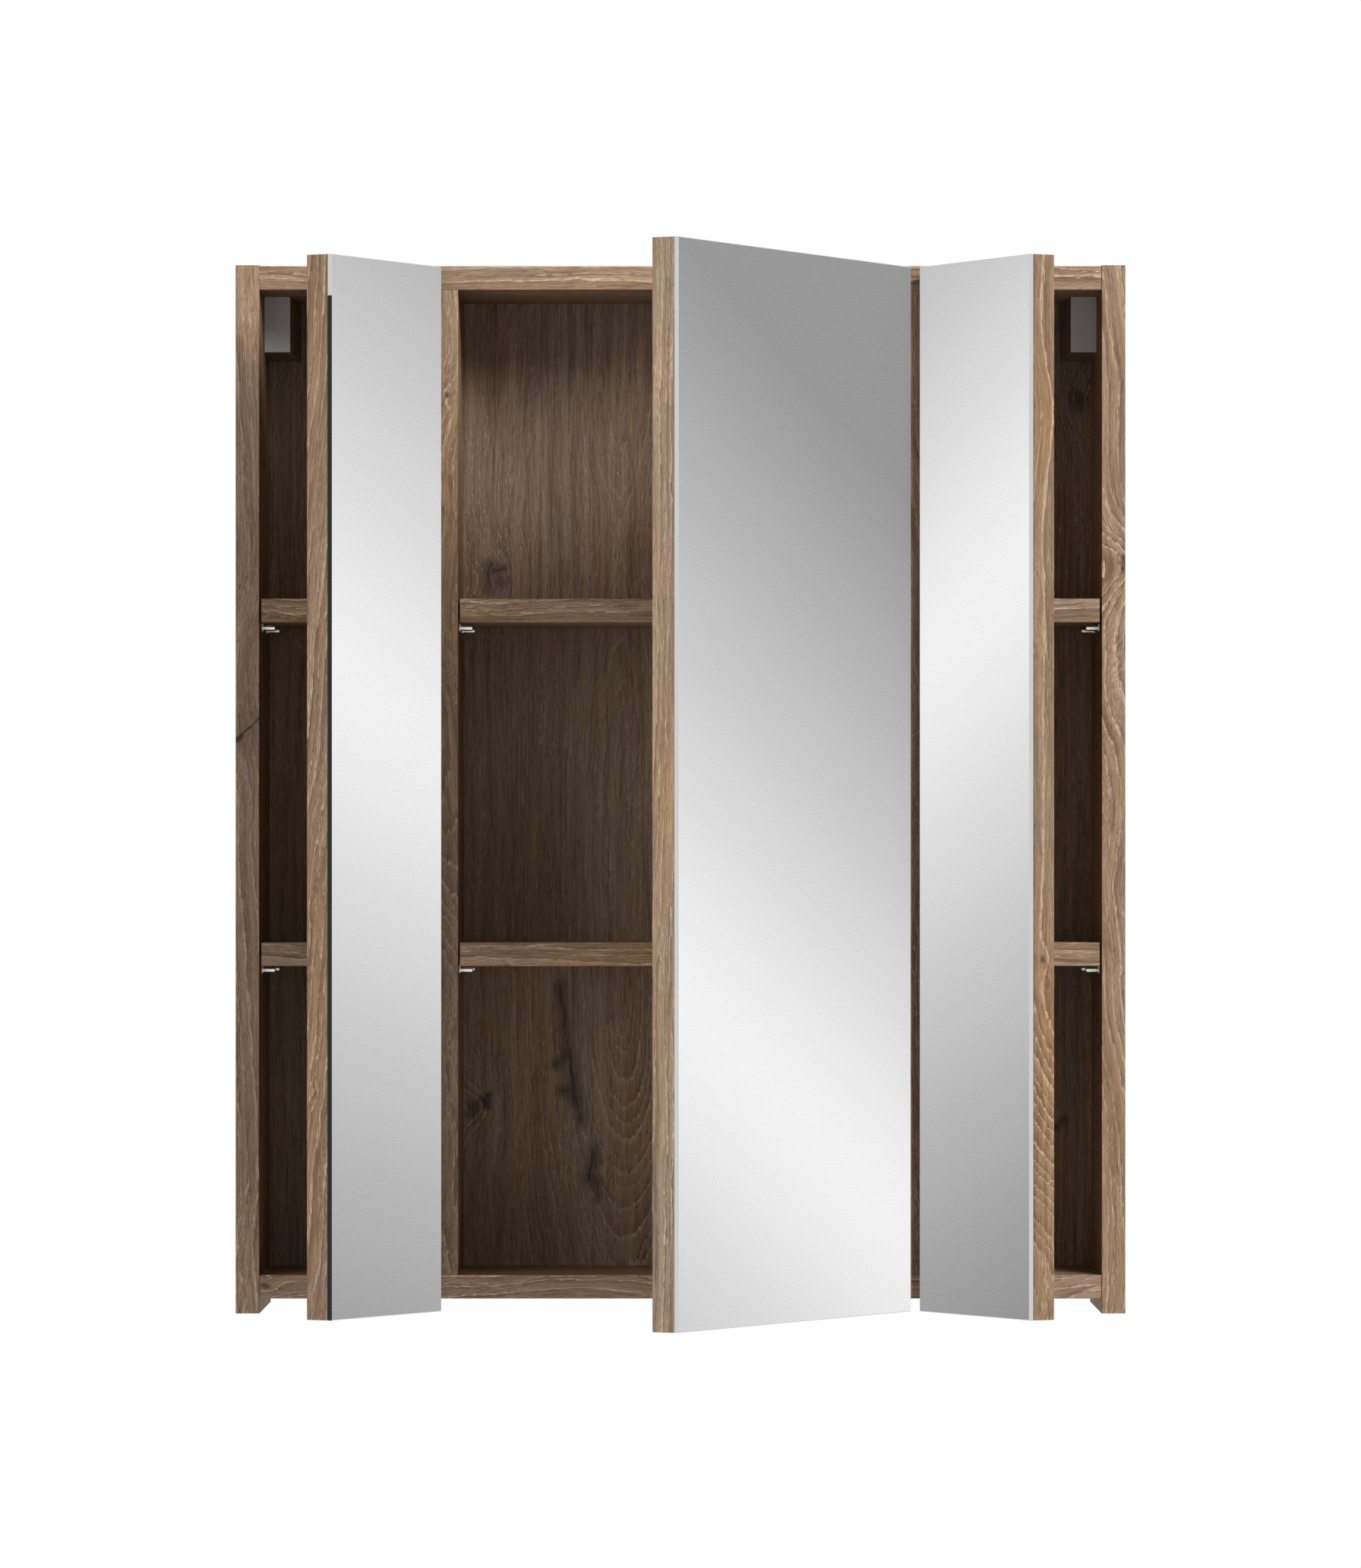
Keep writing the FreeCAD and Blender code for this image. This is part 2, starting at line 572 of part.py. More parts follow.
def hinge_cup():
    bottom = V(CUP_CENTRE_E, CUP_FLOOR_F, 0)
    mouth = V(CUP_CENTRE_E, CUP_BACK_F, 0)
    cup = rod(CUP_R, bottom, mouth)
    flange_back = CUP_BACK_F - CUP_FLANGE
    wings = box(CUP_FLANGE_FROM, CUP_FLANGE_TO, flange_back, CUP_BACK_F, -CUP_FLANGE_HALF, CUP_FLANGE_HALF)
    wings = wings.makeFillet(CUP_FLANGE_ROUND, edges_along(wings, V(0, 1, 0)))
    cup = cup.fuse(wings)
    room_floor = V(CUP_CENTRE_E, CUP_FLOOR_F - CUP_WALL, 0)
    cup = cup.cut(rod(CUP_R - CUP_WALL, room_floor, V(CUP_CENTRE_E, flange_back - 1, 0)))
    floor = CUP_FLOOR_F - CUP_WALL / 2
    for low, high in ((LUG_IN, LUG_OUT), (-LUG_OUT, -LUG_IN)):
        eye = Part.makeCylinder(EYE_R, high - low, V(CUP_PIVOT_E, CUP_PIVOT_F, low))
        foot = [(CUP_PIVOT_E - EYE_R, CUP_PIVOT_F), (CUP_PIVOT_E + EYE_R, CUP_PIVOT_F)]
        foot += [(CUP_PIVOT_E + 2 * EYE_R, floor), (CUP_PIVOT_E - EYE_R, floor)]
        cup = cup.fuse([eye, slab(foot, low, high)])
    holes = [pivot_hole(CUP_PIVOT_E, CUP_PIVOT_F)]
    for z in (-CUP_SCREW_HALF, CUP_SCREW_HALF):
        start = V(CUP_CENTRE_E + CUP_SCREW_IN, flange_back - 1, z)
        holes.append(rod(CUP_SCREW_R + FIT, start, start.add(V(0, CUP_FLANGE + 2, 0))))
    return drill(cup.removeSplitter(), holes)


def cup_screws():
    seat = CUP_BACK_F - CUP_FLANGE
    profile = [(-CUP_SCREW_HEAD, CUP_SCREW_HEAD_R - 0.8), (0, CUP_SCREW_HEAD_R), (0, CUP_SCREW_R)]
    profile += [(CUP_SCREW - CUP_SCREW_R, CUP_SCREW_R), (CUP_SCREW, 0.3)]
    screws = []
    for z in (-CUP_SCREW_HALF, CUP_SCREW_HALF):
        screws.append(turned(profile, V(CUP_CENTRE_E + CUP_SCREW_IN, seat, z), V(0, 1, 0)))
    return screws


def cup_drills():
    mouth = V(CUP_CENTRE_E, CUP_BACK_F, 0)
    cuts = [rod(CUP_R + FIT, mouth, mouth.add(V(0, CUP_DEEP + FIT, 0)))]
    for z in (-CUP_SCREW_HALF, CUP_SCREW_HALF):
        start = V(CUP_CENTRE_E + CUP_SCREW_IN, CUP_BACK_F, z)
        cuts.append(rod(CUP_SCREW_R + FIT, start, start.add(V(0, CUP_SCREW - CUP_FLANGE + HOLE_END, 0))))
    return cuts


def hinge_arm():
    # A channel that straddles the plate's block, with two cheeks that reach forward to the pivot
    cheeks = []
    for low, high in ((LUG_IN, LUG_OUT), (-LUG_OUT, -LUG_IN)):
        points = [(ARM_BASE_E, -ARM_END), (ARM_TOP_E, -ARM_END), (ARM_TOP_E, ARM_PIVOT_F)]
        points += [(ARM_PIVOT_E, ARM_PIVOT_F + ARM_TIP_R), (ARM_BASE_E, -ARM_WEB_FRONT)]
        cheeks.append(slab(points, low, high))
        cheeks.append(Part.makeCylinder(ARM_TIP_R, high - low, V(ARM_PIVOT_E, ARM_PIVOT_F, low)))
    web = box(ARM_TOP_E - ARM_WEB, ARM_TOP_E, -ARM_END, -ARM_WEB_FRONT, -LUG_OUT, LUG_OUT)
    arm = web.fuse(cheeks).removeSplitter()
    return drill(arm, [pivot_hole(ARM_PIVOT_E, ARM_PIVOT_F), fixing_slot(), web_hole(ARM_ADJUSTER)])


def web_hole(back):
    return rod(ARM_SCREW_R + FIT, V(ARM_TOP_E - ARM_WEB - 1, -back, 0), V(ARM_TOP_E + 1, -back, 0))


def fixing_slot():
    # The arm slides under its fixing screw, so the hole is long and open at the back
    ends = [web_hole(ARM_FIXING - ARM_FIXING_TRAVEL), web_hole(ARM_FIXING)]
    half = ARM_SCREW_R + FIT
    front = -ARM_FIXING + ARM_FIXING_TRAVEL
    run = box(ARM_TOP_E - ARM_WEB - 1, ARM_TOP_E + 1, -ARM_END - 1, front, -half, half)
    return run.fuse(ends)


def arm_screws():
    head = [(-ARM_SCREW_HEAD, ARM_SCREW_HEAD_R - 0.8), (0, ARM_SCREW_HEAD_R), (0, ARM_SCREW_R)]
    screws = []
    for back, length in ((ARM_FIXING, ARM_SCREW), (ARM_ADJUSTER, ARM_WEB + BLOCK_PLAY)):
        screw = turned(head + [(length, ARM_SCREW_R)], V(ARM_TOP_E, -back, 0), V(-1, 0, 0))
        slot = box(-1.0, 1.0, -ARM_SCREW_R, ARM_SCREW_R, -0.4, 0.4)
        cross = slot.fuse(slot.copy().rotate(V(0, 0, 0), V(1, 0, 0), 90))
        cross.translate(V(ARM_TOP_E + ARM_SCREW_HEAD, -back, 0))
        screws.append(screw.cut(cross))
    return screws


def hinge_plate():
    foot = box(MOUNT_E, ARM_BASE_E, -PLATE_BACK, -PLATE_FRONT, -PLATE_HALF_WIDE, PLATE_HALF_WIDE)
    wing_back = -WING_FROM_FRONT - WING_HALF_DEEP
    wing_front = -WING_FROM_FRONT + WING_HALF_DEEP
    wings = box(MOUNT_E, ARM_BASE_E, wing_back, wing_front, -WING_HALF, WING_HALF)
    wings = wings.makeFillet(WING_ROUND, edges_along(wings, V(1, 0, 0)))
    points = [(MOUNT_E, -PLATE_BACK), (ARM_BASE_E, -PLATE_BACK), (BLOCK_TOP_E, -PLATE_BACK + BLOCK_SLOPE)]
    points += [(BLOCK_TOP_E, -BLOCK_FRONT - BLOCK_SLOPE), (ARM_BASE_E, -BLOCK_FRONT), (MOUNT_E, -BLOCK_FRONT)]
    block = slab(points, -BLOCK_HALF, BLOCK_HALF)
    holes = []
    for z in (-PLATE_SCREW_HALF, PLATE_SCREW_HALF):
        start = V(MOUNT_E - 1, -WING_FROM_FRONT, z)
        holes.append(rod(PLATE_SCREW_R + FIT, start, start.add(V(PLATE_THICK + 2, 0, 0))))
    mouth = V(BLOCK_TOP_E, -ARM_FIXING, 0)
    holes.append(rod(ARM_SCREW_R + FIT, mouth, V(ARM_TOP_E - ARM_SCREW - HOLE_END, -ARM_FIXING, 0)))
    return drill(foot.fuse([wings, block]).removeSplitter(), holes)


def plate_screws():
    profile = [(-PLATE_SCREW_HEAD, PLATE_SCREW_HEAD_R - 1.2), (0, PLATE_SCREW_HEAD_R), (0, PLATE_SCREW_R)]
    profile += [(PLATE_SCREW + PLATE_THICK - PLATE_SCREW_R, PLATE_SCREW_R), (PLATE_SCREW + PLATE_THICK, 0.4)]
    screws = []
    for z in (-PLATE_SCREW_HALF, PLATE_SCREW_HALF):
        screws.append(turned(profile, V(ARM_BASE_E, -WING_FROM_FRONT, z), V(-1, 0, 0)))
    return screws


def plate_drills():
    cuts = []
    for z in (-PLATE_SCREW_HALF, PLATE_SCREW_HALF):
        start = V(MOUNT_E, -WING_FROM_FRONT, z)
        cuts.append(rod(PLATE_SCREW_R + FIT, start, start.add(V(-PLATE_SCREW - HOLE_END, 0, 0))))
    return cuts


# Where each door hangs: its hinge edge, the way it runs from there, its width and hinge heights
SIDE_DOOR = HALF - DOOR_REVEAL_SIDE - DIVIDER_MID - DOOR_GAP / 2
CENTRE_DOOR = 2 * DIVIDER_MID - DOOR_GAP
SIDE_HINGES = (HINGE_END_SIDE, HEIGHT - HINGE_END_SIDE)
CENTRE_HINGES = (HINGE_END_CENTRE, HEIGHT - HINGE_END_CENTRE)
DOORS = {
    "left": (-DIVIDER_MID - DOOR_GAP / 2, -1, SIDE_DOOR, SIDE_HINGES),
    "centre": (DIVIDER_MID - DOOR_GAP / 2, -1, CENTRE_DOOR, CENTRE_HINGES),
    "right": (DIVIDER_MID + DOOR_GAP / 2, 1, SIDE_DOOR, SIDE_HINGES),
}


def placed(shapes, door):
    # From E and F to the cabinet. A door that runs to the right is the mirror image.
    edge, way = DOORS[door][0], DOORS[door][1]
    out = []
    for shape in shapes:
        moved = shape.copy()
        if way < 0:
            moved.rotate(V(0, 0, 0), V(0, 0, 1), 180)
        else:
            moved = moved.mirror(V(0, 0, 0), V(0, 1, 0))
        moved.translate(V(edge, FRONT, 0))
        out.append(moved)
    return out


def at_heights(shapes, heights):
    out = []
    for z in heights:
        for shape in shapes:
            copy = shape.copy()
            copy.translate(V(0, 0, z))
            out.append(copy)
    return out


def opened_link(shape):
    moved = shape.copy()
    moved.rotate(V(ARM_PIVOT_E, ARM_PIVOT_F, 0), V(0, 0, 1), LINK_SHARE * DOOR_OPEN)
    return moved


def opened_door(shape):
    # The door turns about the cup pivot, which the link carries along
    moved = shape.copy()
    moved.rotate(V(CUP_PIVOT_E, CUP_PIVOT_F, 0), V(0, 0, 1), DOOR_OPEN)
    turn = math.radians(LINK_SHARE * DOOR_OPEN)
    reach_e = CUP_PIVOT_E - ARM_PIVOT_E
    reach_f = CUP_PIVOT_F - ARM_PIVOT_F
    new_e = ARM_PIVOT_E + math.cos(turn) * reach_e - math.sin(turn) * reach_f
    new_f = ARM_PIVOT_F + math.sin(turn) * reach_e + math.cos(turn) * reach_f
    moved.translate(V(new_e - CUP_PIVOT_E, new_f - CUP_PIVOT_F, 0))
    return moved


DOOR_LOW = DOOR_REVEAL_END
DOOR_HIGH = HEIGHT - DOOR_REVEAL_END
BOARD_FRONT_F = DOOR_STANDOFF + BOARD
TAPE_FRONT_F = BOARD_FRONT_F + MIRROR_TAPE
MIRROR_FRONT_F = TAPE_FRONT_F + MIRROR


def door_board(width, heights):
    board = box(0, width, DOOR_STANDOFF, BOARD_FRONT_F, DOOR_LOW, DOOR_HIGH)
    edges = upright_edges(board, DOOR_STANDOFF) + level_edges(board, DOOR_STANDOFF)
    board = board.makeFillet(EDGE_ROUND, edges)
    return drill(board, at_heights(cup_drills(), heights))


def mirror_tape(width):
    low = DOOR_LOW + TAPE_INSET
    high = DOOR_HIGH - TAPE_INSET
    return box(TAPE_INSET, width - TAPE_INSET, BOARD_FRONT_F, TAPE_FRONT_F, low, high)


def mirror(width):
    glass = box(0, width, TAPE_FRONT_F, MIRROR_FRONT_F, DOOR_LOW, DOOR_HIGH)
    edges = upright_edges(glass, MIRROR_FRONT_F) + level_edges(glass, MIRROR_FRONT_F)
    return glass.makeChamfer(MIRROR_BEVEL, edges)


def bumpers(width):
    domes = []
    back = DOOR_STANDOFF
    profile = [(0, BUMPER_R), (BUMPER_THICK - 0.5, BUMPER_R), (BUMPER_THICK, BUMPER_R - 1.0)]
    for z in (BOTTOM_LIFT + BOARD / 2, TOP_TOP - BOARD / 2):
        domes.append(turned(profile, V(width - BUMPER_IN, back, z), V(0, -1, 0)))
    return domes


# Carcass
plate_cuts = {}
for door, (edge, way, width, heights) in DOORS.items():
    plate_cuts[door] = placed(at_heights(plate_drills(), heights), door)

save("side_panel_left", [side_panel(-1)])
save("side_panel_right", [side_panel(1)])
save("top_panel", [level_panel(TOP_UNDER, TOP_TOP, TOP_UNDER, 1)])
save("bottom_panel", [level_panel(BOTTOM_LIFT, BOTTOM_LIFT, BOTTOM_TOP, -1)])
save("divider_left", [divider(-1, plate_cuts["left"])])
save("divider_right", [divider(1, plate_cuts["centre"] + plate_cuts["right"])])
save("back_panel", [back_panel()])
for bay in BAYS:
    save("shelf_lower_" + bay, [shelf(bay, SHELF_UNDERSIDES[0])])
    save("shelf_upper_" + bay, [shelf(bay, SHELF_UNDERSIDES[1])])
save("shelf_pins", shelf_pins())
cam_housings, cam_bolts = cams()
save("cam_housings", cam_housings)
save("cam_bolts", cam_bolts)
save("dowels", dowels())
save("divider_screws", divider_screws())

# Hangers
for name, way in (("left", -1), ("right", 1)):
    save("hanger_body_" + name, [hanger_body(way)])
    save("hanger_hook_" + name, [hanger_hook(way)])
    save("hanger_cover_" + name, [hanger_cover(way)])
    save("wall_plate_" + name, [wall_plate(way)])
save("hanger_screws", [hanger_screw(-1), hanger_screw(1)])

# Hinges and doors
arm_pins = []
screws_of_arms = []
screws_of_plates = []
for door, (edge, way, width, heights) in DOORS.items():
    save("hinge_arms_" + door, placed(at_heights([hinge_arm()], heights), door))
    save("hinge_plates_" + door, placed(at_heights([hinge_plate()], heights), door))
    arm_pins += placed(at_heights([hinge_pin(ARM_PIVOT_E, ARM_PIVOT_F)], heights), door)
    screws_of_arms += placed(at_heights(arm_screws(), heights), door)
    screws_of_plates += placed(at_heights(plate_screws(), heights), door)
    link = opened_link(hinge_link())
    save("hinge_links_" + door, placed(at_heights([link], heights), door))
    moving = {
        "door_board_": [door_board(width, heights)],
        "mirror_tape_": [mirror_tape(width)],
        "mirror_": [mirror(width)],
        "door_bumpers_": bumpers(width),
        "hinge_cups_": at_heights([hinge_cup()], heights),
        "hinge_cup_pins_": at_heights([hinge_pin(CUP_PIVOT_E, CUP_PIVOT_F)], heights),
        "hinge_cup_screws_": at_heights(cup_screws(), heights),
    }
    for name, shapes in moving.items():
        save(name + door, placed([opened_door(shape) for shape in shapes], door))
save("hinge_arm_pins", arm_pins)
save("hinge_arm_screws", screws_of_arms)
save("hinge_plate_screws", screws_of_plates)
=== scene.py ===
"""Mirror cabinet: finishes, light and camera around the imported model."""
import math
from typing import NamedTuple

import bmesh
import bpy
from mathutils import Euler, Matrix, Vector


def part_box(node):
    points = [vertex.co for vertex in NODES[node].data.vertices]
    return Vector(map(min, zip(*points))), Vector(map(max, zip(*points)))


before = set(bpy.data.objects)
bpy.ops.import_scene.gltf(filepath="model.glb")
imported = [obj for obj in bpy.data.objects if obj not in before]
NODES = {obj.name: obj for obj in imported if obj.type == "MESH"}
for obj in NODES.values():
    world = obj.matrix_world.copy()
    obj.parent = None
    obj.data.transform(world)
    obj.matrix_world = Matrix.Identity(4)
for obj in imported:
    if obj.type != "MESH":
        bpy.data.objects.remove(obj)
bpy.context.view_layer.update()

bl_info = {
    "name": "Mirror Cabinet",
    "version": (1, 0, 0),
    "blender": (4, 5, 0),
    "location": "3D View > Sidebar > Cabinet",
    "description": "Finishes a wall-hung mirror cabinet in oak decor and sets its stage",
    "category": "Object",
}

DOORS = ("left", "centre", "right")

# Places on the object, in metres, and the angle at which the doors stand, in degrees
CARCASS_LOW, CARCASS_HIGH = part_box("side_panel_left")
FRONT_Y = CARCASS_LOW.y
FOOT_Z = CARCASS_LOW.z
TOP_Z = CARCASS_HIGH.z
DOOR_OPEN = 60.0
DOOR_TURN = {"left": DOOR_OPEN, "centre": DOOR_OPEN, "right": -DOOR_OPEN}


def turned_box(node, degrees):
    """A node's lowest and highest corners after a turn about the upright axis."""
    turn = Matrix.Rotation(math.radians(degrees), 3, "Z")
    points = [turn @ vertex.co for vertex in NODES[node].data.vertices]
    low = Vector([min(point[axis] for point in points) for axis in range(3)])
    high = Vector([max(point[axis] for point in points) for axis in range(3)])
    return low, high


# Sizes and colours that a user would change
def colour(name, description, default):
    return bpy.props.FloatVectorProperty(
        name=name, description=description, default=default, subtype="COLOR", size=3, min=0.0, max=1.0)


def number(name, description, default, unit="NONE"):
    return bpy.props.FloatProperty(name=name, description=description, default=default, unit=unit)


class OakLook(bpy.types.PropertyGroup):
    """Colours of the oak decor foil."""
    mid: colour("Oak", "Body of the decor", (0.270, 0.170, 0.101))
    dark: colour("Late wood", "Darker growth lines", (0.130, 0.076, 0.043))
    pale: colour("Pale streak", "Lighter broad streaks", (0.400, 0.273, 0.171))
    lime: colour("Limed pore", "Pale strokes in the open pores", (0.600, 0.470, 0.338))
    heart: colour("Knot", "Heart of knots and cracks", (0.024, 0.016, 0.011))


class GlassLook(bpy.types.PropertyGroup):
    """Silvered glass; the tones of its sheen and the colours of its edge are painted reflections, which the
    glass gives out as light.
    """
    # The edge colours are painted reflections: pale for the white surround, dark for the dark of the bay
    edge: colour("Polished edge", "Ground and polished edge of the glass", (0.590, 0.595, 0.590))
    painted_dark_reflection: colour("Shaded edge", "Edge that faces the dark of the bay", (0.002, 0.006, 0.008))
    painted_sheen_peak: number("Brightest tone", "Tone of the glass at the middle of its sheen", 0.945)
    slope: number("Sheen fall", "Loss of tone for each metre from the sheen", 0.84)
    floor: number("Lowest tone", "Tone at which the sheen levels out", 0.565)


class HardwareLook(bpy.types.PropertyGroup):
    """Colours of the metal, plastic, rubber and dowels."""
    nickel: colour("Nickel", "Shelf pins", (0.80, 0.78, 0.74))
    hinge: colour("Hinge steel", "Pressed pieces of the hinges", (0.66, 0.66, 0.65))
    screw: colour("Screw steel", "Screws, bolts and pivot pins", (0.58, 0.58, 0.58))
    zinc: colour("Zinc", "Hangers, wall plates and cams", (0.56, 0.57, 0.58))
    cover: colour("Cover front", "Face of the hanger covers", (0.61, 0.61, 0.61))
    # Painted shade: the covers' sides are brown as if they stood in shadow
    cover_painted_shade: colour("Cover sides", "Sides of the hanger covers", (0.20, 0.15, 0.125))
    tape: colour("Foam tape", "Tape behind the mirrors", (0.05, 0.05, 0.05))
    gel: colour("Bumper gel", "Soft dots on the doors", (0.72, 0.72, 0.70))
    beech: colour("Beech", "Body of the dowels", (0.62, 0.46, 0.29))
    beech_fleck: colour("Beech fleck", "Flecks in the dowels", (0.48, 0.33, 0.19))


class StageLook(bpy.types.PropertyGroup):
    """Camera and lamps."""
    camera_distance: number("Camera distance", "From the carcass front to the camera", 5.670, "LENGTH")
    camera_height: number("Camera height", "Above the foot of the sides", 0.2925, "LENGTH")
    lens: number("Lens", "Focal length on a 36 mm sensor", 193.02, "CAMERA")
    rise: number("Lens rise", "Upward shift of the lens", 0.0611)
    key: number("Key lamp", "Large lamp to the right, in front and above", 170.0, "POWER")
    fill: number("Fill lamp", "Large lamp to the left", 32.0, "POWER")
    front: number("Front lamp", "Weak lamp beside the camera, for the bays", 9.0, "POWER")
    ambient: number("Ambient", "Even light from all round", 0.30)


# Shader sums
class Value:
    """A socket that can be used in Python sums; each sum adds a Math node."""

    def __init__(self, finish, socket):
        self.finish = finish
        self.socket = socket

    def sum(self, operation, *others):
        return self.finish.node("ShaderNodeMath", {"operation": operation}, dict(enumerate((self,) + others)))

    def after(self, operation, first):
        return self.finish.node("ShaderNodeMath", {"operation": operation}, {0: first, 1: self})

    def __add__(self, other):
        return self.sum("ADD", other)

    def __sub__(self, other):
        return self.sum("SUBTRACT", other)

    def __mul__(self, other):
        return self.sum("MULTIPLY", other)

    def __truediv__(self, other):
        return self.sum("DIVIDE", other)

    def __pow__(self, other):
        return self.sum("POWER", other)

    def __abs__(self):
        return self.sum("ABSOLUTE")

    def __radd__(self, other):
        return self.after("ADD", other)

    def __rsub__(self, other):
        return self.after("SUBTRACT", other)

    def __rmul__(self, other):
        return self.after("MULTIPLY", other)

    def __rtruediv__(self, other):
        return self.after("DIVIDE", other)

    def between(self, start, end):
        """A smooth step from 0 at start to 1 at end."""
        at_low, at_high = (0.0, 1.0) if start <= end else (1.0, 0.0)
        return self.finish.node("ShaderNodeMapRange", {"interpolation_type": "SMOOTHSTEP"}, {
            0: self, 1: min(start, end), 2: max(start, end), 3: at_low, 4: at_high})

    def bell(self, steepness=1.0):
        """A bell curve, 1 where the value is 0."""
        return (self * self * -steepness).sum("EXPONENT")


class Pattern(NamedTuple):
    """A noise: its waves to a metre in three directions, and how it breaks up."""
    waves: tuple
    detail: float = 2.0
    roughness: float = 0.5


class Finish:
    """A material or world under construction."""

    def __init__(self, name, owner=None):
        self.owner = owner or bpy.data.materials.new(name)
        self.owner.use_nodes = True
        self.tree = self.owner.node_tree
        self.tree.nodes.clear()

    def node(self, kind, settings=None, inputs=None, out=0):
        """Adds a node, with its settings set first, and gives one of its outputs."""
        made = self.tree.nodes.new(kind)
        for name, value in (settings or {}).items():
            if name == "stops":
                self.set_stops(made.color_ramp, value)
            else:
                setattr(made, name, value)
        for name, value in (inputs or {}).items():
            if isinstance(value, Value):
                self.tree.links.new(value.socket, made.inputs[name])
            else:
                made.inputs[name].default_value = value
        return Value(self, made.outputs[out]) if made.outputs else None

    def set_stops(self, ramp, stops):
        while len(ramp.elements) < len(stops):
            ramp.elements.new(0.5)
        for element, (position, tone) in zip(ramp.elements, stops):
            element.position = position
            element.color = (*tone, 1.0)

    def vector(self, operation, first, second):
        return self.node("ShaderNodeVectorMath", {"operation": operation}, {0: first, 1: second})

    def length(self, vector):
        return self.node("ShaderNodeVectorMath", {"operation": "LENGTH"}, {0: vector}, out="Value")

    def stretch(self, vector, scale):
        return self.vector("MULTIPLY", vector, scale)

    def moved(self, vector, by):
        return self.vector("ADD", vector, by)

    def board_place(self, turn=(0.0, 0.0, 0.0), start=(0.0, 0.0, 0.0)):
        """Object coordinates, turned so that the grain runs along Z and then shifted."""
        place = self.node("ShaderNodeTexCoord", out="Object")
        return self.node("ShaderNodeMapping", {}, {"Vector": place, "Rotation": turn, "Location": start})

    def axes(self, vector):
        split = self.node("ShaderNodeSeparateXYZ", {}, {0: vector}).socket.node
        return [Value(self, socket) for socket in split.outputs]

    def join(self, x, y, z):
        return self.node("ShaderNodeCombineXYZ", {}, {0: x, 1: y, 2: z})

    def distance(self, vector, centre, radii):
        """Distance from a centre, in units of an ellipsoid's radii."""
        return self.length(self.vector("DIVIDE", self.vector("SUBTRACT", vector, centre), radii))

    def from_line(self, vector, first, last):
        """Distance from the straight line between two points."""
        run = Vector(last) - Vector(first)
        away = self.moved(vector, -Vector(first))
        share = self.node("ShaderNodeVectorMath", {"operation": "DOT_PRODUCT"}, {
            0: away, 1: run / run.length_squared}, out="Value")
        share = share.sum("MAXIMUM", 0.0).sum("MINIMUM", 1.0)
        foot = self.stretch(self.join(share, share, share), run)
        return self.length(self.vector("SUBTRACT", away, foot))

    def noise(self, vector, waves, detail=2.0, roughness=0.5):
        return self.node("ShaderNodeTexNoise", {}, {
            "Vector": self.stretch(vector, waves), "Scale": 1.0, "Detail": detail, "Roughness": roughness})

    def sway(self, vector, waves, size):
        """A wandering shift in all three directions."""
        loose = self.node("ShaderNodeTexNoise", {}, {
            "Vector": self.stretch(vector, waves), "Scale": 1.0, "Detail": 2.0}, out="Color")
        return self.stretch(self.moved(loose, (-0.5, -0.5, -0.5)), (size, size, size))

    def grey(self, tone):
        return self.node("ShaderNodeCombineColor", {}, {0: tone, 1: tone, 2: tone})

    def mix(self, share, first, second):
        """A colour between two colours."""
        first = (*first, 1.0) if isinstance(first, (tuple, list)) else first
        second = (*second, 1.0) if isinstance(second, (tuple, list)) else second
        return self.node("ShaderNodeMix", {"data_type": "RGBA"}, {0: share, 6: first, 7: second}, out=2)

    def tinted(self, shade, tone):
        """A colour multiplied by a number."""
        shade = (*shade, 1.0) if isinstance(shade, (tuple, list)) else shade
        return self.node("ShaderNodeMix", {"data_type": "RGBA", "blend_type": "MULTIPLY"},
                         {0: 1.0, 6: shade, 7: self.grey(tone)}, out=2)

    def bump(self, height, strength, distance):
        return self.node("ShaderNodeBump", {}, {"Height": height, "Strength": strength, "Distance": distance})

    def shade(self, inputs):
        """Ends a material in one shader."""
        shader = self.node("ShaderNodeBsdfPrincipled", {}, inputs)
        self.node("ShaderNodeOutputMaterial", {}, {"Surface": shader})
        return self.owner

    def shade_both(self, share, first, second, output="ShaderNodeOutputMaterial"):
        """Ends a material or world in a mix of two shaders."""
        both = self.node("ShaderNodeMixShader", {}, {0: share, 1: first, 2: second})
        self.node(output, {}, {"Surface": both})
        return self.owner


def give(material, *names):
    """Puts one finish on CAD nodes."""
    for name in names:
        slots = NODES[name].data.materials
        slots.clear()
        slots.append(material)


# What makes one board's oak differ from another's; lengths are in metres
class Bulge(NamedTuple):
    """A place where the grain swings aside."""
    centre: float
    reach: float
    swing: float


class Bow(NamedTuple):
    """An arch of the growth rings: the heart's travel between two places along the board, and its lean."""
    axis: str
    travel: float
    begin: float
    end: float
    lean: float = 0.0
    middle: float = 0.0


class Knot(NamedTuple):
    """A knot, with its radius across the grain and its darkness."""
    place: tuple
    size: float
    depth: float


class Crack(NamedTuple):
    """A crack through some points: its wander each way, and the darkness of its core and of the painted shade
    beside it.
    """
    points: tuple
    width: float
    wander: tuple
    core: float
    stain_and_shade: float


class PaintedShade(NamedTuple):
    """Painted shade: a loss of brightness along the board, where it stands in shadow."""
    begin: float
    end: float
    loss: float


